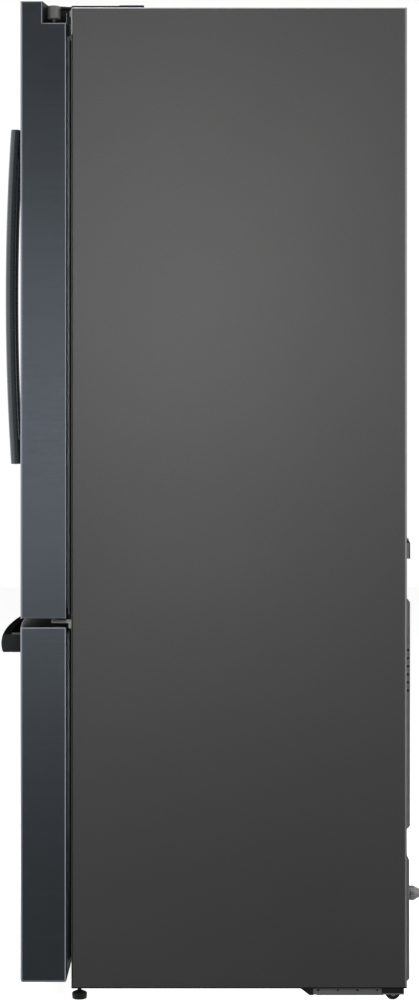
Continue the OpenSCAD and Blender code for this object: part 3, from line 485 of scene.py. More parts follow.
low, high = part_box("freezer_liner")
step_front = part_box("freezer_basket")[1].y + 0.016
step_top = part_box("evaporator_cover")[0].z - liner_wall
outline = [(low.y, low.z), (step_front, low.z), (step_front, step_top), (high.y, step_top), (high.y, high.z),
           (low.y, high.z)]
bm = bmesh.new()
side_face = bm.faces.new([bm.verts.new((low.x, y, z)) for y, z in outline])
grown = bmesh.ops.extrude_face_region(bm, geom=[side_face])
bmesh.ops.translate(bm, vec=(high.x - low.x, 0, 0), verts=new_verts(grown))
bmesh.ops.recalc_face_normals(bm, faces=bm.faces[:])
drop_faces(bm, lambda c: c.y < low.y + 1e-4)
ease(bm, corners(bm), liner_radius, 6)
piece(bm, "freezer_liner_shell", "cabinet", liner_plastic, ["freezer_liner"], sheet=liner_wall)

# The panel over the air duct and the one before the evaporator are moulded in the same plastic.
eased_copy("air_duct_cover", "air_duct_panel", "cabinet", liner_plastic, 0.003, 4)
eased_copy("evaporator_cover", "evaporator_panel", "cabinet", liner_plastic, 0.002, 3)

# Two pairs of slotted steel tracks on the back wall, which the shelves' arms hook into.
track_width, track_pitch = 0.016, 0.025
back_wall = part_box("fridge_liner")[1].y - liner_wall
track_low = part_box("crisper_cover")[1].z + 0.03
track_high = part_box("fridge_liner")[1].z - 0.05
duct_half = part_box("air_duct_cover")[1].x
shelf_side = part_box("shelf_frames")[1].x
for side, side_name in ((1, "right"), (-1, "left")):
    for x, track_name in ((duct_half + 0.012, "inner"), (shelf_side - 0.024, "outer")):
        steps = round((track_high - track_low) / track_pitch)
        bm = bmesh.new()
        bmesh.ops.create_grid(bm, x_segments=1, y_segments=steps, size=0.5)
        flat = Matrix.Rotation(math.radians(90), 4, "X") @ Matrix.Diagonal((track_width,
                                                                            track_high - track_low, 1, 1))
        bmesh.ops.transform(bm, matrix=Matrix.Translation((side * x, back_wall - 0.004,
                                                           (track_low + track_high) / 2)) @ flat,
                            verts=bm.verts[:])
        holes = bmesh.ops.inset_individual(bm, faces=bm.faces[:], thickness=0.0055)
        rims = set(holes["faces"])
        bmesh.ops.delete(bm, geom=[f for f in bm.faces if f not in rims], context="FACES_ONLY")
        edge = [e for e in bm.edges if e.is_boundary and abs(e.verts[0].co.x - e.verts[1].co.x) < 1e-6
                and abs(abs(e.verts[0].co.x - side * x) - track_width / 2) < 1e-5]
        folded = bmesh.ops.extrude_edge_only(bm, edges=edge)
        bmesh.ops.translate(bm, vec=(0, 0.0038, 0), verts=new_verts(folded))
        bmesh.ops.recalc_face_normals(bm, faces=bm.faces[:])
        piece(bm, f"shelf_track_{track_name}_{side_name}", "cabinet", zinc_steel, sheet=0.001)

# ---------------------------------------------------------------- compressor
# A welded steel can in black enamel on a pressed foot plate, with four rubber feet, a terminal
# cover on its side and copper-plated pipes out of its top.
compressor_black = mottled("compressor_black", (0.010, 0.010, 0.011), (0.019, 0.019, 0.020), 0.22, 0.40, 8,
                           400, 0.25,
                           Coat_Weight=0.4)
black_plastic = mottled("black_plastic", (0.005, 0.005, 0.006), (0.010, 0.010, 0.011), 0.45, 0.62, 14, 1500,
                        0.4,
                        Specular_IOR_Level=0.15)
condenser_metal = mottled("condenser_metal", (0.30, 0.29, 0.28), (0.46, 0.45, 0.44), 0.35, 0.55, 50, 700,
                          0.2, Metallic=1.0)


def turned(profile, centre, axis, steps=48, radius=0.0, segments=3):
    """A profile of (distance from the axis, place along it), spun all the way round."""
    bm = bmesh.new()
    centre, axis = Vector(centre), Vector(axis)
    out = axis.orthogonal().normalized()
    ring = [bm.verts.new(centre + out * away + axis * along) for away, along in profile]
    line = [bm.edges.new(pair) for pair in zip(ring, ring[1:])]
    bmesh.ops.spin(bm, geom=ring + line, cent=centre, axis=axis, angle=math.tau, steps=steps, use_merge=True)
    bmesh.ops.remove_doubles(bm, verts=bm.verts[:], dist=1e-6)
    bmesh.ops.recalc_face_normals(bm, faces=bm.faces[:])
    if radius:
        ease(bm, corners(bm), radius, segments)
    return bm


def pipe(route, radius):
    """A round pipe that runs smoothly along a route."""
    curve = bpy.data.curves.new("route", "CURVE")
    curve.dimensions = "3D"
    curve.bevel_depth = radius
    curve.bevel_resolution = 3
    curve.use_fill_caps = True
    curve.resolution_u = 6
    spline = curve.splines.new("NURBS")
    spline.points.add(len(route) - 1)
    for point, place in zip(spline.points, route):
        point.co = (*place, 1)
    spline.order_u = 3
    spline.use_endpoint_u = True
    holder = bpy.data.objects.new("route", curve)
    mesh = bpy.data.meshes.new_from_object(holder)
    bm = bmesh.new()
    bm.from_mesh(mesh)
    bmesh.ops.remove_doubles(bm, verts=bm.verts[:], dist=1e-6)
    bmesh.ops.recalc_face_normals(bm, faces=bm.faces[:])
    bpy.data.objects.remove(holder)
    bpy.data.curves.remove(curve)
    bpy.data.meshes.remove(mesh)
    return bm


low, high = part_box("compressor")
can = Vector(((low.x + high.x) / 2, (low.y + high.y) / 2, low.z))
can_radius = 0.069
belt, top = 0.078, high.z - low.z
can_profile = [(0, 0.013), (0.050, 0.013), (can_radius - 0.006, 0.024), (can_radius, 0.040),
               (can_radius, belt - 0.004),
               (can_radius + 0.0035, belt - 0.003), (can_radius + 0.0035, belt + 0.003),
               (can_radius - 0.0005, belt + 0.004)]
dome_start = belt + 0.016
can_profile += [(can_radius * math.cos(t), dome_start + (top - dome_start) * math.sin(t))
                for t in (math.radians(a) for a in range(0, 90, 15))] + [(0, top)]
piece(turned(can_profile, can, (0, 0, 1), 56), "compressor_can", "cabinet", compressor_black, ["compressor"])
plate = block((low.x, low.y + 0.010, can.z + 0.0125), (high.x, high.y - 0.010, can.z + 0.0150))
ease(plate, [e for e in plate.edges if abs(e.verts[0].co.z - e.verts[1].co.z) > 0.001], 0.02, 6)
piece(plate, "compressor_plate", "cabinet", compressor_black)
feet = bmesh.new()
for dx in (-0.058, 0.058):
    for dy in (-0.048, 0.048):
        join(feet, turned([(0, 0), (0.011, 0), (0.011, 0.005), (0.0085, 0.007), (0.0085, 0.012),
                           (0.0115, 0.0125), (0.0115, 0.017),
                           (0.004, 0.019), (0, 0.019)], can + Vector((dx, dy, 0)), (0, 0, 1), 20, 0.0008, 2))
piece(feet, "compressor_grommets", "cabinet", black_plastic)
terminal = block((can.x - can_radius - 0.014, can.y - 0.026, can.z + 0.045), (can.x - can_radius + 0.018,
                                                                              can.y + 0.026, can.z + 0.100))
ease(terminal, corners(terminal), 0.004, 3)
piece(terminal, "compressor_terminal_cover", "cabinet", black_plastic)
crown = can + Vector((0, 0, top - 0.012))
pipes = pipe([crown + Vector((-0.030, 0.020, -0.01)), crown + Vector((-0.034, 0.024, 0.03)),
              crown + Vector((-0.07, 0.03, 0.05)),
              crown + Vector((-0.15, 0.03, 0.045)), crown + Vector((-0.20, 0.0, 0.0))], 0.0032)
join(pipes, pipe([crown + Vector((0.028, 0.030, -0.012)), crown + Vector((0.030, 0.045, 0.03)),
                  crown + Vector((0.06, 0.05, 0.06)),
                  crown + Vector((0.10, 0.02, 0.068)), crown + Vector((0.115, -0.06, 0.068))], 0.004))
piece(pipes, "compressor_pipes", "cabinet", condenser_metal)

# ---------------------------------------------------------------- condenser, fan and drain pan
# A serpentine tube pushed through thin aluminium fins, with a plastic shroud at its end whose
# round mouth holds the fan. The shallow pan below catches the defrost water.
low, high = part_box("condenser")
shroud_x0, shroud_x1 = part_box("condenser_fan")[0].x - 0.003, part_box("condenser_fan")[1].x + 0.003
fin_low, fin_high = low.z + 0.034, low.z + 0.174
middle = (low.y + high.y) / 2
fins = bmesh.new()
fin_count = 30
for i in range(fin_count):
    x = low.x + 0.008 + (shroud_x0 - 0.014 - low.x) * i / fin_count
    join(fins, block((x, low.y, fin_low), (x + 0.0006, high.y, fin_high)))
piece(fins, "condenser_fins", "cabinet", condenser_metal, ["condenser"])
rows = [(middle + dy, z) for dy in (-0.045, 0.0, 0.045) for z in (fin_low + 0.025, fin_low + 0.055,
                                                                  fin_low + 0.085, fin_low + 0.115)]
rows = [row for n in range(3) for row in (rows[4 * n:4 * n + 4] if n % 2 == 0
                                          else rows[4 * n:4 * n + 4][::-1])]
serpentine = []
for n, (y, z) in enumerate(rows):
    near, far = (low.x - 0.006, shroud_x0 - 0.006) if n % 2 == 0 else (shroud_x0 - 0.006, low.x - 0.006)
    serpentine += [(near, y, z), ((near + far) / 2, y, z), (far, y, z)]
piece(pipe(serpentine, 0.0035), "condenser_tube", "cabinet", condenser_metal)
shroud = block((shroud_x0, low.y, low.z), (shroud_x1, high.y, high.z))
fan_low, fan_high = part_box("condenser_fan")
fan_middle = Vector(((fan_low.x + fan_high.x) / 2, middle, fin_low + 0.070))
mouths = []
for x in (shroud_x0, shroud_x1):
    face = next(f for f in shroud.faces if abs(f.calc_center_median().x - x) < 1e-4)
    hole = bmesh.ops.create_circle(shroud, segments=8, radius=0.059,
                                   matrix=Matrix.Translation((x, fan_middle.y, fan_middle.z))
                                   @ Matrix.Rotation(math.radians(90), 4, "Y")
                                   @ Matrix.Rotation(math.radians(22.5), 4, "Z"))
    ring = list({e for v in hole["verts"] for e in v.link_edges})
    bmesh.ops.subdivide_edges(shroud, edges=face.edges[:], cuts=1)
    rim = [e for f in [g for g in shroud.faces if abs(g.calc_center_median().x - x) < 1e-4] for e in f.edges]
    bmesh.ops.delete(shroud, geom=[g for g in shroud.faces if abs(g.calc_center_median().x - x) < 1e-4],
                     context="FACES_ONLY")
    bmesh.ops.bridge_loops(shroud, edges=rim + ring)
    mouths += ring
bmesh.ops.bridge_loops(shroud, edges=mouths)
bmesh.ops.recalc_face_normals(shroud, faces=shroud.faces[:])
piece(shroud, "fan_shroud", "cabinet", black_plastic)
motor = turned([(0, -0.003), (0.017, -0.003), (0.017, 0.014), (0.014, 0.017), (0, 0.017)],
               (shroud_x1 + 0.004, fan_middle.y, fan_middle.z),
               (1, 0, 0), 28, 0.0015, 2)
for angle in (45, 135, 225, 315):
    turn = math.radians(angle)
    arm = Vector((0, math.cos(turn), math.sin(turn)))
    hub = Vector((shroud_x1 + 0.002, fan_middle.y, fan_middle.z))
    join(motor, pipe([hub + arm * 0.014, hub + arm * 0.04, hub + arm * 0.064], 0.0022))
piece(motor, "fan_motor", "cabinet", black_plastic)

hub_half = (fan_high.x - fan_low.x) / 2
fan = turned([(0, -hub_half), (0.0145, -hub_half), (0.016, -hub_half + 0.0015), (0.016, hub_half),
              (0, hub_half)], fan_middle, (1, 0, 0), 40,
             0.001, 2)
blade_reach, blade_width, blade_count = 0.0525, 0.030, 5
for n in range(blade_count):
    blade = bmesh.new()
    bmesh.ops.create_grid(blade, x_segments=6, y_segments=6, size=0.5)
    for vert in blade.verts:
        along, across = vert.co.x + 0.5, vert.co.y
        reach = 0.014 + (blade_reach - 0.014) * along
        spread = across * blade_width * (0.75 + 0.45 * along) / reach
        pitch = math.radians(38 - 14 * along)
        camber = 0.003 * (1 - 4 * across * across)
        vert.co = Vector((math.sin(pitch) * across * blade_width * 0.62 + camber,
                          reach * math.cos(spread), reach * math.sin(spread)))
    bmesh.ops.solidify(blade, geom=blade.faces[:], thickness=0.0016)
    bmesh.ops.recalc_face_normals(blade, faces=blade.faces[:])
    turn = Matrix.Translation(fan_middle) @ Matrix.Rotation(math.tau * n / blade_count, 4, "X")
    bmesh.ops.transform(blade, matrix=turn, verts=blade.verts[:])
    join(fan, blade)
piece(fan, "cooling_fan", "condenser_fan", black_plastic, ["condenser_fan"])


def tray(low, high, corner, floor_edge, lip=0.0):
    """An open tray with rounded corners: its outer wall, before the sheet gets its thickness inwards."""
    bm = block(low, high)
    middle = (Vector(low) + Vector(high)) / 2
    drop_faces(bm, lambda c: c.z > high[2] - 1e-5)
    ease(bm, [e for e in bm.edges if abs(e.verts[0].co.z - e.verts[1].co.z) > 1e-4], corner, 6)
    ease(bm, [e for e in bm.edges if e.is_manifold and max(v.co.z for v in e.verts) < low[2] + 1e-5
              and e.calc_face_angle(0) > 0.5], floor_edge, 5)
    if lip:
        rim = [e for e in bm.edges if e.is_boundary]
        for drop, out in ((0.0, lip), (-0.0075, 0.0)):
            grown = bmesh.ops.extrude_edge_only(bm, edges=rim)
            verts = new_verts(grown)
            rim = [e for e in grown["geom"] if isinstance(e, bmesh.types.BMEdge)]
            reach = Vector((high[0] - low[0], high[1] - low[1], 0)) / 2
            grow = Matrix.Translation(middle) @ Matrix.Diagonal((1 + out / reach.x, 1 + out / reach.y, 1,
                                                                 1)) @ Matrix.Translation(-middle)
            bmesh.ops.transform(bm, matrix=Matrix.Translation((0, 0, drop)) @ grow, verts=verts)
    bmesh.ops.recalc_face_normals(bm, faces=bm.faces[:])
    base = min(bm.faces, key=lambda f: f.calc_center_median().z)
    if base.normal.z > 0:
        bmesh.ops.reverse_faces(bm, faces=bm.faces[:])
    return bm


low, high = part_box("drain_pan")
piece(tray(low + Vector((0.003, 0.003, 0)), high - Vector((0.003, 0.003, 0)), 0.012, 0.006, lip=0.003),
      "defrost_pan", "cabinet",
      black_plastic, ["drain_pan"], sheet=0.0018)

# ---------------------------------------------------------------- rear covers, water inlet and cord grommet
# Two folded sheet covers with rows of slots are screwed over the back; the lower one closes the
# machine compartment. A grey clip with a black pad, a ribbed nut and a rubber grommet stand there.
eased_copy("rear_cover_upper", "upper_back_cover", "cabinet", rear_sheet, 0.0005, 2)
eased_copy("rear_cover_lower", "lower_back_cover", "cabinet", rear_sheet, 0.0005, 2)
clip_grey = mottled("clip_grey", (0.42, 0.42, 0.425), (0.50, 0.50, 0.505), 0.4, 0.55, 14, 1500, 0.3,
                    slot="black_plastic")
clip_reach_share = 0.73
low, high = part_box("line_guide")
bm = from_cad("line_guide")
ease(bm, corners(bm), 0.0004, 2)
bmesh.ops.translate(bm, vec=(0, -low.y, 0), verts=bm.verts[:])
bmesh.ops.scale(bm, vec=(1, clip_reach_share, 1), verts=bm.verts[:])
bmesh.ops.translate(bm, vec=(0, low.y, 0), verts=bm.verts[:])
clip_back = low.y + (high.y - low.y) * clip_reach_share
piece(bm, "water_line_clip", "cabinet", clip_grey, ["line_guide"])
pad = block((low.x - 0.0003, clip_back - 0.0014, low.z + 0.0004), (high.x + 0.0003, clip_back + 0.0002,
                                                                   high.z - 0.0085))
slope = block((low.x - 0.0003, clip_back - 0.0060, high.z - 0.0085), (high.x + 0.0003, clip_back + 0.0002,
                                                                      high.z - 0.0010))
for vert in [v for v in slope.verts if v.co.z > high.z - 0.002]:
    vert.co.y -= 0.0030 if vert.co.y < clip_back - 0.003 else 0.0062
for pad_part in (pad, slope):
    ease(pad_part, corners(pad_part), 0.0003, 2)
join(pad, slope)
piece(pad, "water_line_clip_pad", "cabinet", black_plastic)


def hex_screw(place, axis, across=0.008, washer=0.0065, tall=0.0008):
    """A hexagon-headed screw with a washer face, standing on a place."""
    turn = Vector(axis).to_track_quat("Z", "Y").to_matrix().to_4x4()
    bm = bmesh.new()
    bmesh.ops.create_cone(bm, cap_ends=True, segments=24, radius1=washer, radius2=washer * 0.93, depth=0.0005,
                          matrix=Matrix.Translation(place) @ turn @ Matrix.Translation((0, 0, 0.00025)))
    head = bmesh.new()
    bmesh.ops.create_cone(head, cap_ends=True, segments=6, radius1=across * 0.577, radius2=across * 0.56,
                          depth=tall,
                          matrix=Matrix.Translation(place) @ turn
                          @ Matrix.Translation((0, 0, 0.0004 + tall / 2)))
    ease(head, corners(head), 0.0002, 2)
    return join(bm, head)


screws = bmesh.new()
for node, spots in (("rear_cover_upper", ((0.92, 0.10), (0.92, 0.5), (0.92, 0.86))),
                    ("rear_cover_lower", ((0.95, 0.18), (0.95, 0.82)))):
    low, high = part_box(node)
    for share_x, share_z in spots:
        for side in (1, -1):
            z = low.z + (high.z - low.z) * share_z
            join(screws, hex_screw((side * high.x * share_x, high.y - 0.0001, z), (0, 1, 0)))
piece(screws, "cover_screws", "cabinet", zinc_steel)

nickel = mottled("nickel", (0.10, 0.10, 0.105), (0.17, 0.17, 0.175), 0.22, 0.36, 40, 800, 0.15, Metallic=1.0)
low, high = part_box("water_inlet")
axis_x, axis_z = (low.x + high.x) / 2, (low.z + high.z) / 2
nut_radius = (high.x - low.x) / 2
bore = 0.0032
body_profile = [(bore, low.y), (0.011, low.y), (0.011, high.y - 0.020), (0.0122, high.y - 0.0195),
                (0.0122, high.y - 0.0185),
                (bore, high.y - 0.0185), (bore, low.y)]
piece(turned(body_profile, (axis_x, 0, axis_z), (0, 1, 0), 40, 0.0006, 2), "inlet_valve_body", "cabinet",
      nickel, ["water_inlet"])
nut = turned([(bore + 0.0006, high.y - 0.0186), (nut_radius - 0.0020, high.y - 0.0186),
              (nut_radius - 0.0008, high.y - 0.0175),
              (nut_radius - 0.0008, high.y - 0.0095), (bore + 0.0052, high.y - 0.0004),
              (bore + 0.0046, high.y),
              (bore + 0.0006, high.y), (bore + 0.0006, high.y - 0.0186)], (axis_x, 0, axis_z), (0, 1, 0), 48)
rib_count = 16
for n in range(rib_count):
    turn = Matrix.Translation((axis_x, 0, axis_z)) @ Matrix.Rotation(math.tau * n / rib_count, 4, "Y")
    rib = block((-0.0011, high.y - 0.0178, nut_radius - 0.0030), (0.0011, high.y - 0.0096, nut_radius))
    ease(rib, corners(rib), 0.0006, 2)
    bmesh.ops.transform(rib, matrix=turn, verts=rib.verts[:])
    join(nut, rib)
piece(nut, "inlet_nut", "cabinet", nickel)

low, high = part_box("cord_inlet")
grommet = [(0.0039, low.y), (0.0105, low.y), (0.011, low.y + 0.0008), (0.011, low.y + 0.0024),
           (0.008, low.y + 0.0024), (0.008, low.y + 0.012),
           (0.0115, low.y + 0.012), (0.012, low.y + 0.0128), (0.012, low.y + 0.0146)]
for n in range(4):
    grommet += [(0.0100 - 0.0011 * n, low.y + 0.0152 + 0.0025 * n),
                (0.0086 - 0.0011 * n, low.y + 0.0158 + 0.0025 * n),
                (0.0086 - 0.0011 * n, low.y + 0.0170 + 0.0025 * n)]
grommet += [(0.0046, high.y), (0.0039, high.y), (0.0039, low.y)]
piece(turned(grommet, ((low.x + high.x) / 2, 0, (low.z + high.z) / 2), (0, 1, 0), 32), "cord_grommet",
      "cabinet", black_plastic, ["cord_inlet"])

# ---------------------------------------------------------------- hinges
# Each upper door hangs between a hinge with a grey barrel and black arms on the cabinet's top,
# under a low plastic cover, and a grey bracket screwed to the centre rail.
hinge_steel = mottled("hinge_steel", (0.092, 0.094, 0.091), (0.118, 0.120, 0.116), 0.36, 0.48, 30, 700, 0.3)
black_enamel = mottled("black_enamel", (0.007, 0.007, 0.008), (0.013, 0.013, 0.014), 0.5, 0.6, 30, 700, 0.3,
                       slot="hinge_steel",
                       Specular_IOR_Level=0.15)
pin_x, pin_y = side_x - 0.022, cabinet_front - 0.033
bm = from_cad("top_hinges")
ease(bm, corners(bm), 0.0007, 3)
barrel_back = pin_y + 0.0128
cut_plane(bm, (0, barrel_back, 0), (0, 1, 0))
arms = split_off(bm, lambda c: c.y > barrel_back)
piece(bm, "top_hinge_barrels", "cabinet", hinge_steel, ["top_hinges"], sheet=0.0006)
piece(arms, "top_hinge_arms", "cabinet", black_enamel, sheet=0.0006)
shade_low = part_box("right_door_gasket")[1].z + 0.0005
bm = from_cad("hinge_covers")
ease(bm, corners(bm), 0.0009, 3)
for side in (1, -1):
    join(bm, on_side(block((pin_x + 0.004, pin_y + 0.0304, shade_low), (pin_x + 0.006, cabinet_front,
                                                                        cabinet_top)), side))
piece(bm, "top_hinge_covers", "cabinet", black_plastic, ["hinge_covers"])
bracket_grey = mottled("bracket_grey", (0.24, 0.235, 0.22), (0.30, 0.295, 0.275), 0.4, 0.5, 30, 700, 0.2,
                       slot="zinc_steel")
eased_copy("mid_hinges", "middle_hinges", "cabinet", bracket_grey, 0.0005, 2)
screws = bmesh.new()
low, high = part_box("mid_hinges")
for side in (1, -1):
    for x in (high.x - 0.012, high.x - 0.036):
        join(screws, hex_screw((side * x, cabinet_front - 0.0048, high.z - 0.0305), (0, -1, 0), 0.006, 0.005,
                               0.0014))
piece(screws, "hinge_screws", "cabinet", zinc_steel)

# ---------------------------------------------------------------- feet and rollers
# Two threaded levelling feet under the front beam, and two moulded rollers on axles in folded
# channels under the rear edge, with black pads in and on the channels.
channel_enamel = mottled("channel_enamel", (0.185, 0.188, 0.188), (0.235, 0.238, 0.237), 0.42, 0.55, 12, 700,
                         0.3, slot="zinc_steel")
eased_copy("roller_brackets", "roller_channels", "cabinet", channel_enamel, 0.0005, 2)
low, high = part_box("roller_brackets")
wheel_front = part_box("roller_right")[0].y - 0.004
inside = bmesh.new()
for side in (1, -1):
    join(inside, on_side(block((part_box("roller_right")[0].x - 0.002, low.y + 0.030, low.z + 0.0015),
                               (high.x - 0.0026, wheel_front, high.z)), side))
for side in (1, -1):
    nose = block((high.x - 0.0010, low.y + 0.0004, low.z + 0.0020), (high.x + 0.0003, low.y + 0.0240,
                                                                     high.z - 0.0004))
    for vert in [v for v in nose.verts if v.co.z < (low.z + high.z) / 2 and v.co.y < low.y + 0.010]:
        vert.co.y += 0.0165
    heel = block((high.x - 0.0010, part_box("roller_right")[0].y - 0.007, low.z + 0.0055),
                 (high.x + 0.0003, high.y - 0.0006, high.z - 0.0004))
    for cover in (nose, heel):
        ease(cover, corners(cover), 0.0002, 1)
        join(inside, on_side(cover, side))
piece(inside, "channel_pads", "cabinet", black_plastic)
for name in ("roller_right", "roller_left"):
    low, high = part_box(name)
    centre = (low + high) / 2
    half, outer = (high.x - low.x) / 2, (high.z - low.z) / 2
    wheel = [(0.0031, -half), (0.0060, -half), (0.0065, -half + 0.0012), (0.0090, -half + 0.0012),
             (outer - 0.0042, -half + 0.0004),
             (outer - 0.0012, -half + 0.0012), (outer, -half + 0.0035)]
    wheel += [(away, -along) for away, along in reversed(wheel)] + [wheel[0]]
    piece(turned(wheel, centre, (1, 0, 0), 48), f"{name}_wheel", name, black_plastic, [name])
for name in ("foot_right", "foot_left"):
    low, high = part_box(name)
    middle = (low + high) / 2
    disc, stem, pitch = (high.x - low.x) / 2, 0.004, 0.00125
    shape = [(0, 0), (disc - 0.0016, 0), (disc - 0.0006, 0.0010), (disc - 0.0006, 0.0050), (disc, 0.0056),
             (disc, 0.0100), (disc - 0.0012, 0.0116),
             (0.0062, 0.0146), (0.0036, 0.0156), (0.0034, 0.0190), (0.0058, 0.0205), (0.0058, 0.0228),
             (stem - 0.0006, 0.0230)]
    turns = int((high.z - low.z - 0.0235) / pitch)
    for n in range(turns):
        shape += [(stem, 0.0233 + pitch * n + pitch * 0.35), (stem - 0.0006, 0.0233 + pitch * (n + 1))]
    shape += [(stem - 0.0010, high.z - low.z), (0, high.z - low.z)]
    piece(turned(shape, (middle.x, middle.y, low.z), (0, 0, 1), 36), f"{name}_leveller", name, black_plastic,
          [name], smooth_angle=50)

# ---------------------------------------------------------------- shelves
# Three levels of two tempered glass plates with ground edges, each held in a moulded rim whose
# cantilever arms hook into the back wall. A grey strip trims each front edge.
shelf_glass = mottled("shelf_glass", (0.78, 0.90, 0.87), (0.86, 0.95, 0.93), 0.02, 0.05, 3, 60, 0.02,
                      Transmission_Weight=0.9)
trim_grey = mottled("trim_grey", (0.058, 0.058, 0.060), (0.085, 0.085, 0.087), 0.42, 0.55, 10, 1500, 0.35)
eased_copy("shelf_glass", "glass_shelves", "cabinet", shelf_glass, 0.0012, 3)
eased_copy("shelf_frames", "shelf_rims", "cabinet", liner_plastic, 0.0012, 3)
low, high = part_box("shelf_frames")
shelf_levels = sorted({round(v.co.z, 4) for v in nodes["shelf_glass"].data.vertices
                       if abs(v.co.z % 0.001) < 1})[1::2]
strips = bmesh.new()
for z in shelf_levels:
    for side in (1, -1):
        ends = sorted((side * 0.008, side * (high.x - 0.004)))
        strip = block((ends[0], low.y - 0.0012, z - 0.010), (ends[1], low.y + 0.0008, z + 0.0005))
        ease(strip, corners(strip), 0.0006, 2)
        join(strips, strip)
piece(strips, "shelf_trims", "cabinet", trim_grey)

# ---------------------------------------------------------------- crisper drawers
# Two clear moulded drawers slide between guides under a white frame, and a small slider on the
# frame's front opens each drawer's vent.
clear_plastic = mottled("clear_plastic", (0.84, 0.90, 0.92), (0.92, 0.96, 0.97), 0.03, 0.10, 6, 300, 0.05,
                        Transmission_Weight=0.85)
eased_copy("crisper_cover", "crisper_frame", "cabinet", liner_plastic, 0.002, 3)
eased_copy("crisper_guides", "crisper_runners", "cabinet", liner_plastic, 0.001, 2)
for side_name in ("right", "left"):
    eased_copy(f"humidity_slider_{side_name}", f"vent_slider_{side_name}", f"humidity_slider_{side_name}",
               trim_grey, 0.0008, 3)
    low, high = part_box(f"crisper_{side_name}")
    front = low.y + 0.014
    bm = tray((low.x + 0.003, front, low.z), (high.x - 0.003, high.y, high.z), 0.018, 0.012, lip=0.0028)
    piece(bm, f"crisper_{side_name}_bin", f"crisper_{side_name}", clear_plastic, [f"crisper_{side_name}"],
          sheet=0.0026)
    bm = block((low.x + 0.012, low.y, high.z - 0.030), (high.x - 0.012, front + 0.001, high.z - 0.004))
    drop_faces(bm, lambda c: c.y > front or c.z < high.z - 0.029)
    ease(bm, corners(bm), 0.006, 5)
    piece(bm, f"crisper_{side_name}_pull", f"crisper_{side_name}", liner_plastic, sheet=0.0025)

# ---------------------------------------------------------------- ceiling light
# A frosted lens, lit from inside by a strip of diodes, snapped into the fresh-food ceiling.
light_lens = mottled("light_lens", (0.86, 0.86, 0.84), (0.92, 0.92, 0.91), 0.30, 0.42, 20, 500, 0.15,
                     Emission_Color=(1.0, 0.97, 0.92, 1), Emission_Strength=2.2)
eased_copy("ceiling_light", "light_cover", "cabinet", light_lens, 0.004, 5)


# ---------------------------------------------------------------- upper doors' steel
# Each door's skin is one sheet of dark tinted stainless with a fine horizontal brush. Its front
# is bowed on the long arc that all three doors share, its sides are folded back round soft
# edges, and a narrow return turns in behind. The top outer corner is notched for the hinge.
def brush_lines(group, given, place):
    """Noise drawn out into long horizontal strokes."""
    stretch = group.nodes.new("ShaderNodeCombineXYZ")
    stretch.inputs["X"].default_value = 9.0
    stretch.inputs["Y"].default_value = 9.0
    group.links.new(given.outputs["Lines"], stretch.inputs["Z"])
    scaled = group.nodes.new("ShaderNodeVectorMath")
    scaled.operation = "MULTIPLY"
    group.links.new(place, scaled.inputs[0])
    group.links.new(stretch.outputs[0], scaled.inputs[1])
    strokes = group.nodes.new("ShaderNodeTexNoise")
    strokes.inputs["Scale"].default_value = 1.0
    strokes.inputs["Detail"].default_value = 4.0
    strokes.inputs["Roughness"].default_value = 0.6
    group.links.new(scaled.outputs[0], strokes.inputs["Vector"])
    spread = group.nodes.new("ShaderNodeMapRange")
    spread.inputs["From Min"].default_value = 0.3
    spread.inputs["From Max"].default_value = 0.7
    group.links.new(strokes.outputs["Fac"], spread.inputs["Value"])
    return spread.outputs["Result"]


brushed = surface_group("brushed", {"Lines": 900.0, "Cloud Scale": 3.0},
                        lambda group, given, place: noise(group, given.outputs["Cloud Scale"], place),
                        brush_lines, 0.7)
dark_steel = finish("dark_steel", brushed, (0.130, 0.150, 0.172), (0.158, 0.181, 0.206), 0.19, 0.235, 0.10,
                    {"Lines": 1500, "Cloud Scale": 2.5}, Metallic=1.0)

bow = 0.018
bow_radius = (bow ** 2 + side_x ** 2) / (2 * bow)
front_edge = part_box("freezer_front_skin")[0].y + bow
bow_middle = Vector((0, front_edge - bow + bow_radius, 0))
door_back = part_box("freezer_front_skin")[1].y
skin = 0.0008
edge_radius = 0.004
fold_radius = 0.0038
return_width = 0.016


def bow_y(x, out=0.0):
    """The doors' curved front at x, or a surface that stands off it."""
    return bow_middle.y - math.sqrt((bow_radius + out) ** 2 - x * x)


def door_block(x0, x1, z0, z1, back, inset=0.0):
    """A closed door body: a vertex spun along the bow, joined across the back, and drawn upwards."""
    bm = bmesh.new()
    x0, x1 = x0 + inset, x1 - inset
    start = bm.verts.new((x0, bow_y(x0, -inset), z0))
    span = math.asin(x1 / (bow_radius - inset)) - math.asin(x0 / (bow_radius - inset))
    bmesh.ops.spin(bm, geom=[start], cent=bow_middle, axis=(0, 0, 1), angle=span,
                   steps=max(8, round((x1 - x0) / 0.014)))
    ends = [v for v in bm.verts if len(v.link_edges) == 1]
    first, last = sorted(ends, key=lambda v: v.co.x)
    rear = [bm.verts.new((x0, back, z0)), bm.verts.new((x1, back, z0))]
    for pair in ((first, rear[0]), (rear[0], rear[1]), (rear[1], last)):
        bm.edges.new(pair)
    bmesh.ops.contextual_create(bm, geom=bm.edges[:])
    risen = bmesh.ops.extrude_face_region(bm, geom=bm.faces[:])
    bmesh.ops.translate(bm, vec=(0, 0, z1 - z0), verts=new_verts(risen))
    bmesh.ops.recalc_face_normals(bm, faces=bm.faces[:])
    return bm


def upright(edge):
    """True for an edge that runs straight up."""
    a, b = (v.co for v in edge.verts)
    return abs(a.x - b.x) + abs(a.y - b.y) < 1e-5


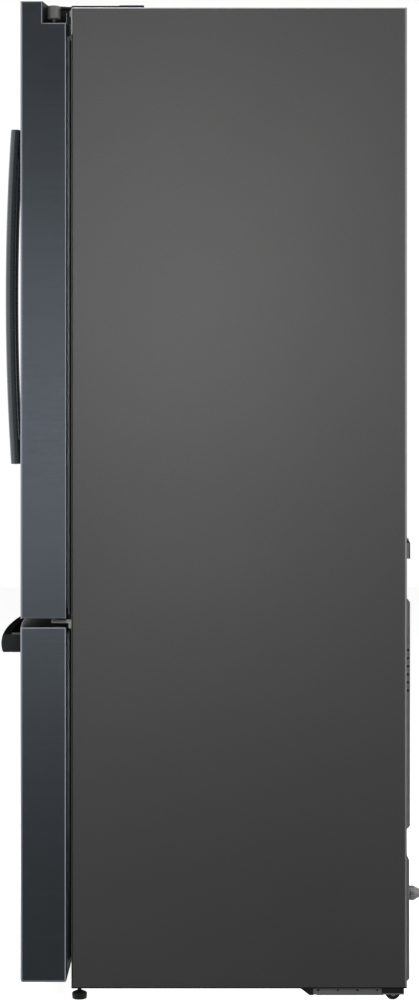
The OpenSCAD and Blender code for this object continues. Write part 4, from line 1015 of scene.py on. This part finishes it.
skin_low, skin_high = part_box("right_door_skin")
notch_floor = skin_high.z - 0.0395
notch_front = Vector((side_x, front_edge + 0.040, 0))
notch_face = Vector((0.23, 1, 0)).normalized()
for side, side_name in ((1, "right"), (-1, "left")):
    bm = door_block(skin_low.x, skin_high.x, skin_low.z, skin_high.z, skin_high.y)
    ease(bm, [e for e in corners(bm, 60) if upright(e) and e.verts[0].co.y < door_back - 0.01], edge_radius,
         5)
    for x in (skin_low.x + return_width, skin_high.x - return_width):
        cut_plane(bm, (x, 0, 0), (1, 0, 0))
    drop_faces(bm, lambda c: abs(c.y - door_back) < 1e-5 and skin_low.x + return_width < c.x < skin_high.x
               - return_width)
    ease(bm, [e for e in corners(bm, 60) if upright(e)], fold_radius, 4)
    drop_faces(bm, lambda c: c.z < skin_low.z + 1e-5 or c.z > skin_high.z - 1e-5)
    cut_plane(bm, (0, 0, notch_floor), (0, 0, 1))
    cut_plane(bm, notch_front, notch_face)
    drop_faces(bm, lambda c: c.z > notch_floor and (c - notch_front).dot(notch_face) > 0)
    rims = [e for e in bm.edges if e.is_boundary and min(v.co.x for v in e.verts) > side_x - 1e-4]
    turned_in = bmesh.ops.extrude_edge_only(bm, edges=rims)
    lip_verts = new_verts(turned_in)
    bmesh.ops.translate(bm, vec=(-0.0035, 0, 0), verts=lip_verts)
    bmesh.ops.recalc_face_normals(bm, faces=bm.faces[:])
    flat_side = max(bm.faces, key=lambda f: f.calc_area() * (f.calc_center_median().x > side_x - 1e-4))
    if flat_side.normal.x < 0:
        bmesh.ops.reverse_faces(bm, faces=bm.faces[:])
    ease(bm, [e for e in corners(bm, 60) if min(v.co.x for v in e.verts) > side_x - 1e-4], 0.0022, 4)
    piece(on_side(bm, side), f"{side_name}_door_steel", f"{side_name}_door", dark_steel,
          [f"{side_name}_door_skin"], sheet=skin)

# ---------------------------------------------------------------- upper doors' end caps
# Black moulded caps close the top and bottom of each door round the foam and take its pins.
# A rib on the top cap and a pad on the hinge's cover shade the gap over the gasket.
for side, side_name in ((1, "right"), (-1, "left")):
    bm = from_cad("right_door_caps")
    ease(bm, corners(bm, 35), 0.0006, 2)
    join(bm, block((pin_x + 0.002, door_back - 0.001, shade_low), (pin_x + 0.005, pin_y + 0.0296,
                                                                   cabinet_top - 0.0015)))
    piece(on_side(bm, side), f"{side_name}_door_end_caps", f"{side_name}_door", black_plastic,
          [f"{side_name}_door_caps"])

# ---------------------------------------------------------------- upper doors' inner panels
# A white vacuum-formed panel is bonded to each door's foam. A rounded ridge stands round the
# part inside the gasket and carries the door bins on small lugs.
ridge = 0.020
bin_levels = (0.7745, 1.0745, 1.3745)
for side, side_name in ((1, "right"), (-1, "left")):
    node = f"{side_name}_door_liner"
    panel_low, panel_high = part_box("right_door_liner")
    bins_low, bins_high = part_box("right_door_bins")
    bm = door_block(skin_low.x, skin_high.x, panel_low.z, notch_floor - 0.014, door_back - 0.002, 0.0055)
    piece(on_side(bm, side), f"{side_name}_door_foam", f"{side_name}_door", foam, [node])
    flange = return_width + 0.0005
    x0, x1 = skin_low.x + flange, skin_high.x - flange
    outer = (bins_low.x - ridge, bins_high.x + ridge)
    ridge_low, ridge_high = 0.7345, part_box("mullion_flap")[1].z + 0.0005
    bm = block((x0, door_back - 0.004, panel_low.z), (x1, door_back, panel_high.z))
    drop_faces(bm, lambda c: c.y < door_back - 1e-5)
    for x in (outer[0], bins_low.x, bins_high.x, outer[1]):
        cut_plane(bm, (x, 0, 0), (1, 0, 0))
    for z in (ridge_low, ridge_low + ridge, ridge_high - ridge, ridge_high):
        cut_plane(bm, (0, 0, z), (0, 0, 1))

    def in_ridge(c):
        inside = outer[0] < c.x < outer[1] and ridge_low < c.z < ridge_high
        hollow = bins_low.x < c.x < bins_high.x and ridge_low + ridge < c.z < ridge_high - ridge
        return inside and not hollow

    raised = bmesh.ops.extrude_face_region(bm, geom=[f for f in bm.faces if in_ridge(f.calc_center_median())])
    bmesh.ops.translate(bm, vec=(0, panel_high.y - door_back, 0), verts=new_verts(raised))
    drop_faces(bm, lambda c: c.y < door_back + 1e-5 and in_ridge(c))
    bmesh.ops.recalc_face_normals(bm, faces=bm.faces[:])
    crest = max(bm.faces, key=lambda f: f.calc_center_median().y)
    if crest.normal.y < 0:
        bmesh.ops.reverse_faces(bm, faces=bm.faces[:])
    ease(bm, corners(bm, 60), 0.0065, 5)
    piece(on_side(bm, side), f"{side_name}_door_inner_panel", f"{side_name}_door", liner_plastic,
          sheet=0.0015)
    lugs = bmesh.new()
    for z in bin_levels:
        for x, way in ((bins_low.x, -1), (bins_high.x, 1)):
            lug = block((min(x, x + way * 0.004) - 0.0005, door_back + 0.010, z + 0.050),
                        (max(x, x + way * 0.004) + 0.0005, door_back + 0.036, z + 0.078))
            ease(lug, corners(lug), 0.0015, 2)
            join(lugs, lug)
    piece(on_side(lugs, side), f"{side_name}_bin_lugs", f"{side_name}_door", liner_plastic)

# The left panel also has two moulded lugs that the folding strip's pins turn in.
flap_low, flap_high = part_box("mullion_flap")
flap_pin = Vector((flap_low.x + 0.003, (flap_low.y + flap_high.y) / 2, 0))
lugs = bmesh.new()
for z in (flap_low.z, flap_high.z - 0.004):
    lug = block((flap_pin.x - 0.0065, door_back - 0.001, z), (flap_pin.x + 0.0065, flap_pin.y + 0.0065,
                                                              z + 0.004))
    ease(lug, [e for e in lug.edges if upright(e) and e.verts[0].co.y > door_back], 0.005, 6)
    join(lugs, lug)
piece(lugs, "strip_lugs", "left_door", liner_plastic)


# ---------------------------------------------------------------- gaskets
# A black bellows with a lip round it runs round the back of each door, mitred at its four corners,
# and closes the gap to the cabinet's painted flange. The lip is painted grey: a painted highlight.
gasket_rubber = mottled("gasket", (0.006, 0.006, 0.006), (0.010, 0.010, 0.010), 0.50, 0.62, 30, 700, 0.25,
                        Specular_IOR_Level=0.25)
# A grey copy of the gasket's black rubber: the lip's painted highlight.
lip_painted_highlight = mottled("gasket_lip_painted_highlight", (0.150, 0.153, 0.158), (0.190, 0.194, 0.200), 0.45, 0.58, 30, 700, 0.25,
                     slot="gasket")


def ring(node, section):
    """Nested rectangles, one for each corner of a section, bridged into a ring with mitred corners.

    Faces that close the opening are taken out, which leaves gaps in strips that lie flat."""
    low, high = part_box(node)
    bm = bmesh.new()
    loops = []
    for inset, share in section:
        y = low.y + (high.y - low.y) * share
        spots = [(low.x + inset, low.z + inset), (high.x - inset, low.z + inset),
                 (high.x - inset, high.z - inset),
                 (low.x + inset, high.z - inset)]
        verts = [bm.verts.new((x, y, z)) for x, z in spots]
        loops.append([bm.edges.new((a, b)) for a, b in zip(verts, verts[1:] + verts[:1])])
    for a, b in zip(loops, loops[1:] + loops[:1]):
        bmesh.ops.bridge_loops(bm, edges=a + b)
    lids = [f for f in bm.faces if max(abs(v.co.x - w.co.x) for v in f.verts for w in f.verts) > 0.1
            and max(abs(v.co.z - w.co.z) for v in f.verts for w in f.verts) > 0.1]
    bmesh.ops.delete(bm, geom=lids, context="FACES_ONLY")
    bmesh.ops.recalc_face_normals(bm, faces=bm.faces[:])
    ease(bm, [e for e in corners(bm, 50) if abs(e.verts[0].co.y - e.verts[1].co.y) < 1e-6], 0.0003, 2)
    return bm


def gasket(node, body, name):
    """The black bellows, and the lip that stands out round it, painted grey: a painted highlight."""
    bellows = [(0.0050, 0.0), (0.0050, 0.09), (0.0010, 0.14), (0.0010, 0.50), (0.0050, 0.62), (0.0050, 0.86),
               (0.0036, 1.0),
               (0.0084, 1.0), (0.0070, 0.86), (0.0070, 0.76), (0.0114, 0.70), (0.0120, 0.50), (0.0114, 0.30),
               (0.0070, 0.22),
               (0.0070, 0.0)]
    lip = [(0.0004, 0.18), (0.0, 0.22), (0.0, 0.38), (0.0006, 0.44), (0.0030, 0.44), (0.0030, 0.18)]
    piece(ring(node, bellows), name, body, gasket_rubber, [node], smooth_angle=70)
    piece(ring(node, lip), f"{name}_lip", body, lip_painted_highlight, smooth_angle=70)


gasket("right_door_gasket", "right_door", "right_door_bellows")
gasket("left_door_gasket", "left_door", "left_door_bellows")

# ---------------------------------------------------------------- door bins
# Three clear bins hang between the ridges of each door. Each is a thin moulding with rounded
# corners and a grey band along its front that holds bottles in.
for side, side_name in ((1, "right"), (-1, "left")):
    low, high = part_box("right_door_bins")
    clear_bins, bands = bmesh.new(), bmesh.new()
    for n, z in enumerate(bin_levels):
        back = low.y + (0.072 if n == 0 else 0.104)
        bm = tray((low.x + 0.001, low.y + 0.001, z), (high.x - 0.001, back - 0.003, z + 0.092), 0.014, 0.009)
        join(clear_bins, bm)
        band = block((low.x + 0.004, back - 0.0032, z + 0.072), (high.x - 0.004, back, z + 0.092))
        ease(band, corners(band), 0.0013, 3)
        join(bands, band)
    piece(on_side(clear_bins, side), f"{side_name}_door_bin_trays", f"{side_name}_door", clear_plastic,
          [f"{side_name}_door_bins"], sheet=0.0024)
    piece(on_side(bands, side), f"{side_name}_door_bin_bands", f"{side_name}_door", trim_grey)

# ---------------------------------------------------------------- door handles
# Each handle is a tall bar of black-tinted steel, bowed away from the door, with a round front
# and a flat back. A post behind each end is screwed to the door through the skin.
handle_steel = finish("handle_steel", brushed, (0.050, 0.056, 0.061), (0.064, 0.071, 0.077), 0.24, 0.30, 0.10,
                      {"Lines": 900, "Cloud Scale": 4.0}, Metallic=1.0)
handle_end = mottled("handle_end", (0.007, 0.009, 0.009), (0.011, 0.014, 0.014), 0.45, 0.6, 14, 1500, 0.3,
                     slot="handle_steel", Specular_IOR_Level=0.25)


def bar_section(half_width, depth, front_radius, back_radius, crown):
    """Half of a bar's outline from its front's middle to its back's middle: (across, depth) points."""
    flat = half_width - front_radius
    points = [(flat * n / 4, crown * (n / 4) ** 2) for n in range(4)]
    for angle in range(0, 91, 15):
        t = math.radians(angle)
        points.append((flat + front_radius * math.sin(t), crown + front_radius * (1 - math.cos(t))))
    for angle in range(0, 91, 30):
        t = math.radians(angle)
        points.append((half_width - back_radius + back_radius * math.cos(t), depth - back_radius
                       + back_radius * math.sin(t)))
    return points + [(0.0, depth)]


def bar_ring(half):
    """The whole outline: the half and its mirror image, without the two middle points twice."""
    return half + [(-across, deep) for across, deep in reversed(half[1:-1])]


bar_depth = 0.019
for side, side_name in ((1, "right"), (-1, "left")):
    low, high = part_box("right_door_handle")
    across = (low.x + high.x) / 2
    half_width, half_height, middle_z = (high.x - low.x) / 2, (high.z - low.z) / 2, (low.z + high.z) / 2
    rise = high.y - bar_depth - low.y
    arc_radius = (half_height ** 2 + rise ** 2) / (2 * rise)
    centre = Vector((across, low.y + arc_radius, middle_z))
    spread = math.asin(half_height / arc_radius)
    bm = bmesh.new()
    start = Matrix.Translation(centre) @ Matrix.Rotation(-spread, 4, "X") @ Matrix.Translation(-centre)
    outline_ring = [bm.verts.new(start @ Vector((across + wide, low.y + deep, middle_z)))
            for wide, deep in bar_ring(bar_section(half_width, bar_depth, 0.0105, 0.0025, 0.0008))]
    first = bm.faces.new(outline_ring)
    bmesh.ops.spin(bm, geom=[first], cent=centre, axis=(1, 0, 0), angle=2 * spread, steps=40)
    bmesh.ops.recalc_face_normals(bm, faces=bm.faces[:])
    ends = [f for f in bm.faces if len(f.verts) > 8]
    for face in ends:
        ease(bm, face.edges[:], 0.0012, 2)
    piece(on_side(bm, side), f"{side_name}_handle_bar", f"{side_name}_door", handle_steel,
          [f"{side_name}_door_handle"])
    eased_copy(f"{side_name}_handle_mounts", f"{side_name}_handle_posts", f"{side_name}_door", handle_end,
               0.003, 4, 50)

# ---------------------------------------------------------------- folding strip
# A dark plastic-faced strip, heated against dew, hangs on the left door and closes the gap
# between the two upper doors; its pins turn in the lugs at its two ends.
eased_copy("mullion_flap", "folding_strip", "mullion_flap", trim_grey, 0.0012, 3)
low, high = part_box("mullion_flap")
cover = block((low.x + 0.004, low.y - 0.0003, low.z + 0.012), (high.x - 0.003, low.y + 0.0006,
                                                               high.z - 0.012))
ease(cover, corners(cover), 0.0004, 2)
piece(cover, "strip_face", "mullion_flap", dark_steel)

# ---------------------------------------------------------------- freezer drawer's front
# The same brushed skin, closed at its top and bottom edges and black along its foot, over a
# foamed white inner panel with a low raised field inside the gasket.
low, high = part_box("freezer_front_skin")
bm = door_block(low.x, high.x, low.z, high.z, high.y)
ease(bm, [e for e in corners(bm, 60) if upright(e) and e.verts[0].co.y < high.y - 0.01], edge_radius, 5)
back_face = max(bm.faces, key=lambda f: f.calc_center_median().y)
bmesh.ops.inset_region(bm, faces=[back_face], thickness=return_width)
bmesh.ops.delete(bm, geom=[back_face], context="FACES_ONLY")
ease(bm, [e for e in corners(bm, 60) if not upright(e) or e.verts[0].co.y > high.y - 0.01], 0.0046, 5)
edging_top = low.z + 0.0026
cut_plane(bm, (0, 0, edging_top), (0, 0, 1))
lower_edge = split_off(bm, lambda c: c.z < edging_top)
piece(bm, "drawer_steel", "freezer_drawer", dark_steel, ["freezer_front_skin"], sheet=skin)
piece(lower_edge, "drawer_lower_edging", "freezer_drawer", black_plastic, sheet=skin)

panel_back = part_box("freezer_front_liner")[1].y
bm = door_block(low.x, high.x, low.z + 0.0055, high.z - 0.0055, high.y - 0.002, 0.0055)
piece(bm, "drawer_foam", "freezer_drawer", foam, ["freezer_front_liner"])
flange = return_width + 0.0005
field_x = side_x - 0.052
field_low, field_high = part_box("freezer_liner")[0].z + 0.0105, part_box("freezer_liner")[1].z - 0.0105
bm = block((low.x + flange, high.y - 0.004, low.z + flange), (high.x - flange, high.y, high.z - flange))
drop_faces(bm, lambda c: c.y < high.y - 1e-5)
for x in (-field_x, field_x):
    cut_plane(bm, (x, 0, 0), (1, 0, 0))
for z in (field_low, field_high):
    cut_plane(bm, (0, 0, z), (0, 0, 1))
field = [f for f in bm.faces if abs(f.calc_center_median().x) < field_x
         and field_low < f.calc_center_median().z < field_high]
raised = bmesh.ops.extrude_face_region(bm, geom=field)
bmesh.ops.translate(bm, vec=(0, panel_back - high.y, 0), verts=new_verts(raised))
bmesh.ops.delete(bm, geom=[f for f in field if f.is_valid], context="FACES_ONLY")
bmesh.ops.recalc_face_normals(bm, faces=bm.faces[:])
crest = max(bm.faces, key=lambda f: f.calc_center_median().y)
if crest.normal.y < 0:
    bmesh.ops.reverse_faces(bm, faces=bm.faces[:])
ease(bm, corners(bm, 60), 0.005, 5)
piece(bm, "drawer_inner_panel", "freezer_drawer", liner_plastic, sheet=0.0015)
gasket("freezer_gasket", "freezer_drawer", "drawer_bellows")

# ---------------------------------------------------------------- drawer handle
# A full-width, nearly black bar follows the drawer's bow. Its crowned front and its two tips
# are brushed steel, and its other faces are a duller near-black: painted shade. Dark moulded
# posts close the space behind its two ends.
low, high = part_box("freezer_handle")
reach = bow_y(0) - low.y
half_height = (high.z - low.z) / 2
middle_z = (low.z + high.z) / 2
outer_radius = bow_radius + reach
span = math.asin(high.x / outer_radius)
bm = bmesh.new()
start = Matrix.Translation(bow_middle) @ Matrix.Rotation(-span, 4, "Z") @ Matrix.Translation(-bow_middle)
outline_ring = [bm.verts.new(start @ Vector((0, low.y + deep, middle_z + tall)))
        for tall, deep in bar_ring(bar_section(half_height, bar_depth, 0.0040, 0.0015, 0.0018))]
first = bm.faces.new(outline_ring)
bmesh.ops.spin(bm, geom=[first], cent=bow_middle, axis=(0, 0, 1), angle=2 * span, steps=48)
bmesh.ops.recalc_face_normals(bm, faces=bm.faces[:])
for face in [f for f in bm.faces if len(f.verts) > 8]:
    ease(bm, face.edges[:], 0.0008, 2)
front_faces = bm.copy()
front_faces.normal_update()
bm.normal_update()
bmesh.ops.delete(front_faces, geom=[f for f in front_faces.faces if f.normal.y > -0.6], context="FACES")
bmesh.ops.delete(bm, geom=[f for f in bm.faces if f.normal.y <= -0.6], context="FACES")
# A dull near-black copy of the handle's steel, with no sheen, for the faces that don't look forward: painted
# shade.
bar_painted_shade = mottled("bar_painted_shade", (0.005, 0.006, 0.006), (0.008, 0.009, 0.009), 0.8, 0.9, 14, 1500, 0.2,
                    slot="handle_steel",
                    Specular_IOR_Level=0.0)
piece(bm, "drawer_handle_bar", "freezer_drawer", bar_painted_shade, ["freezer_handle"], sheet=0.0015)
piece(front_faces, "drawer_handle_face", "freezer_drawer", handle_steel, sheet=0.0015)
eased_copy("freezer_handle_mounts", "drawer_handle_posts", "freezer_drawer", handle_end, 0.0008, 3, 50)
ends = bmesh.new()
end_y = bow_y(high.x) - reach
for side in (1, -1):
    plate = block((high.x - 0.0012, end_y + 0.0055, low.z + 0.0006),
                  (high.x + 0.0002, end_y + bar_depth + 0.0120, high.z - 0.0006))
    ease(plate, corners(plate), 0.0004, 2)
    join(ends, on_side(plate, side))
piece(ends, "drawer_handle_ends", "freezer_drawer", handle_end)
tips = bmesh.new()
for side in (1, -1):
    tip = block((high.x - 0.0012, end_y + 0.0016, low.z + 0.0030), (high.x + 0.0002, end_y + 0.0056,
                                                                    high.z - 0.0030))
    ease(tip, corners(tip), 0.0004, 2)
    join(tips, on_side(tip, side))
piece(tips, "drawer_handle_tips", "freezer_drawer", handle_steel)

# ---------------------------------------------------------------- basket, tray and slides
# A deep white basket hangs on the drawer between telescopic steel slides, and a shallow clear
# tray runs back along its upper edges.
eased_copy("freezer_basket", "freezer_basket_shell", "freezer_drawer", liner_plastic, 0.0012, 2)
low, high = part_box("freezer_tray")
bm = tray((low.x + 0.003, low.y + 0.003, low.z), (high.x - 0.003, high.y - 0.003, high.z), 0.022, 0.010,
          lip=0.0028)
piece(bm, "sliding_tray", "freezer_tray", clear_plastic, ["freezer_tray"], sheet=0.0026)
for node, name, body in (("slide_outer", "outer_rails", "cabinet"), ("slide_middle", "middle_rails",
                                                                     "slide_middle"),
                         ("slide_inner", "inner_rails", "freezer_drawer")):
    eased_copy(node, name, body, zinc_steel, 0.0007, 2)
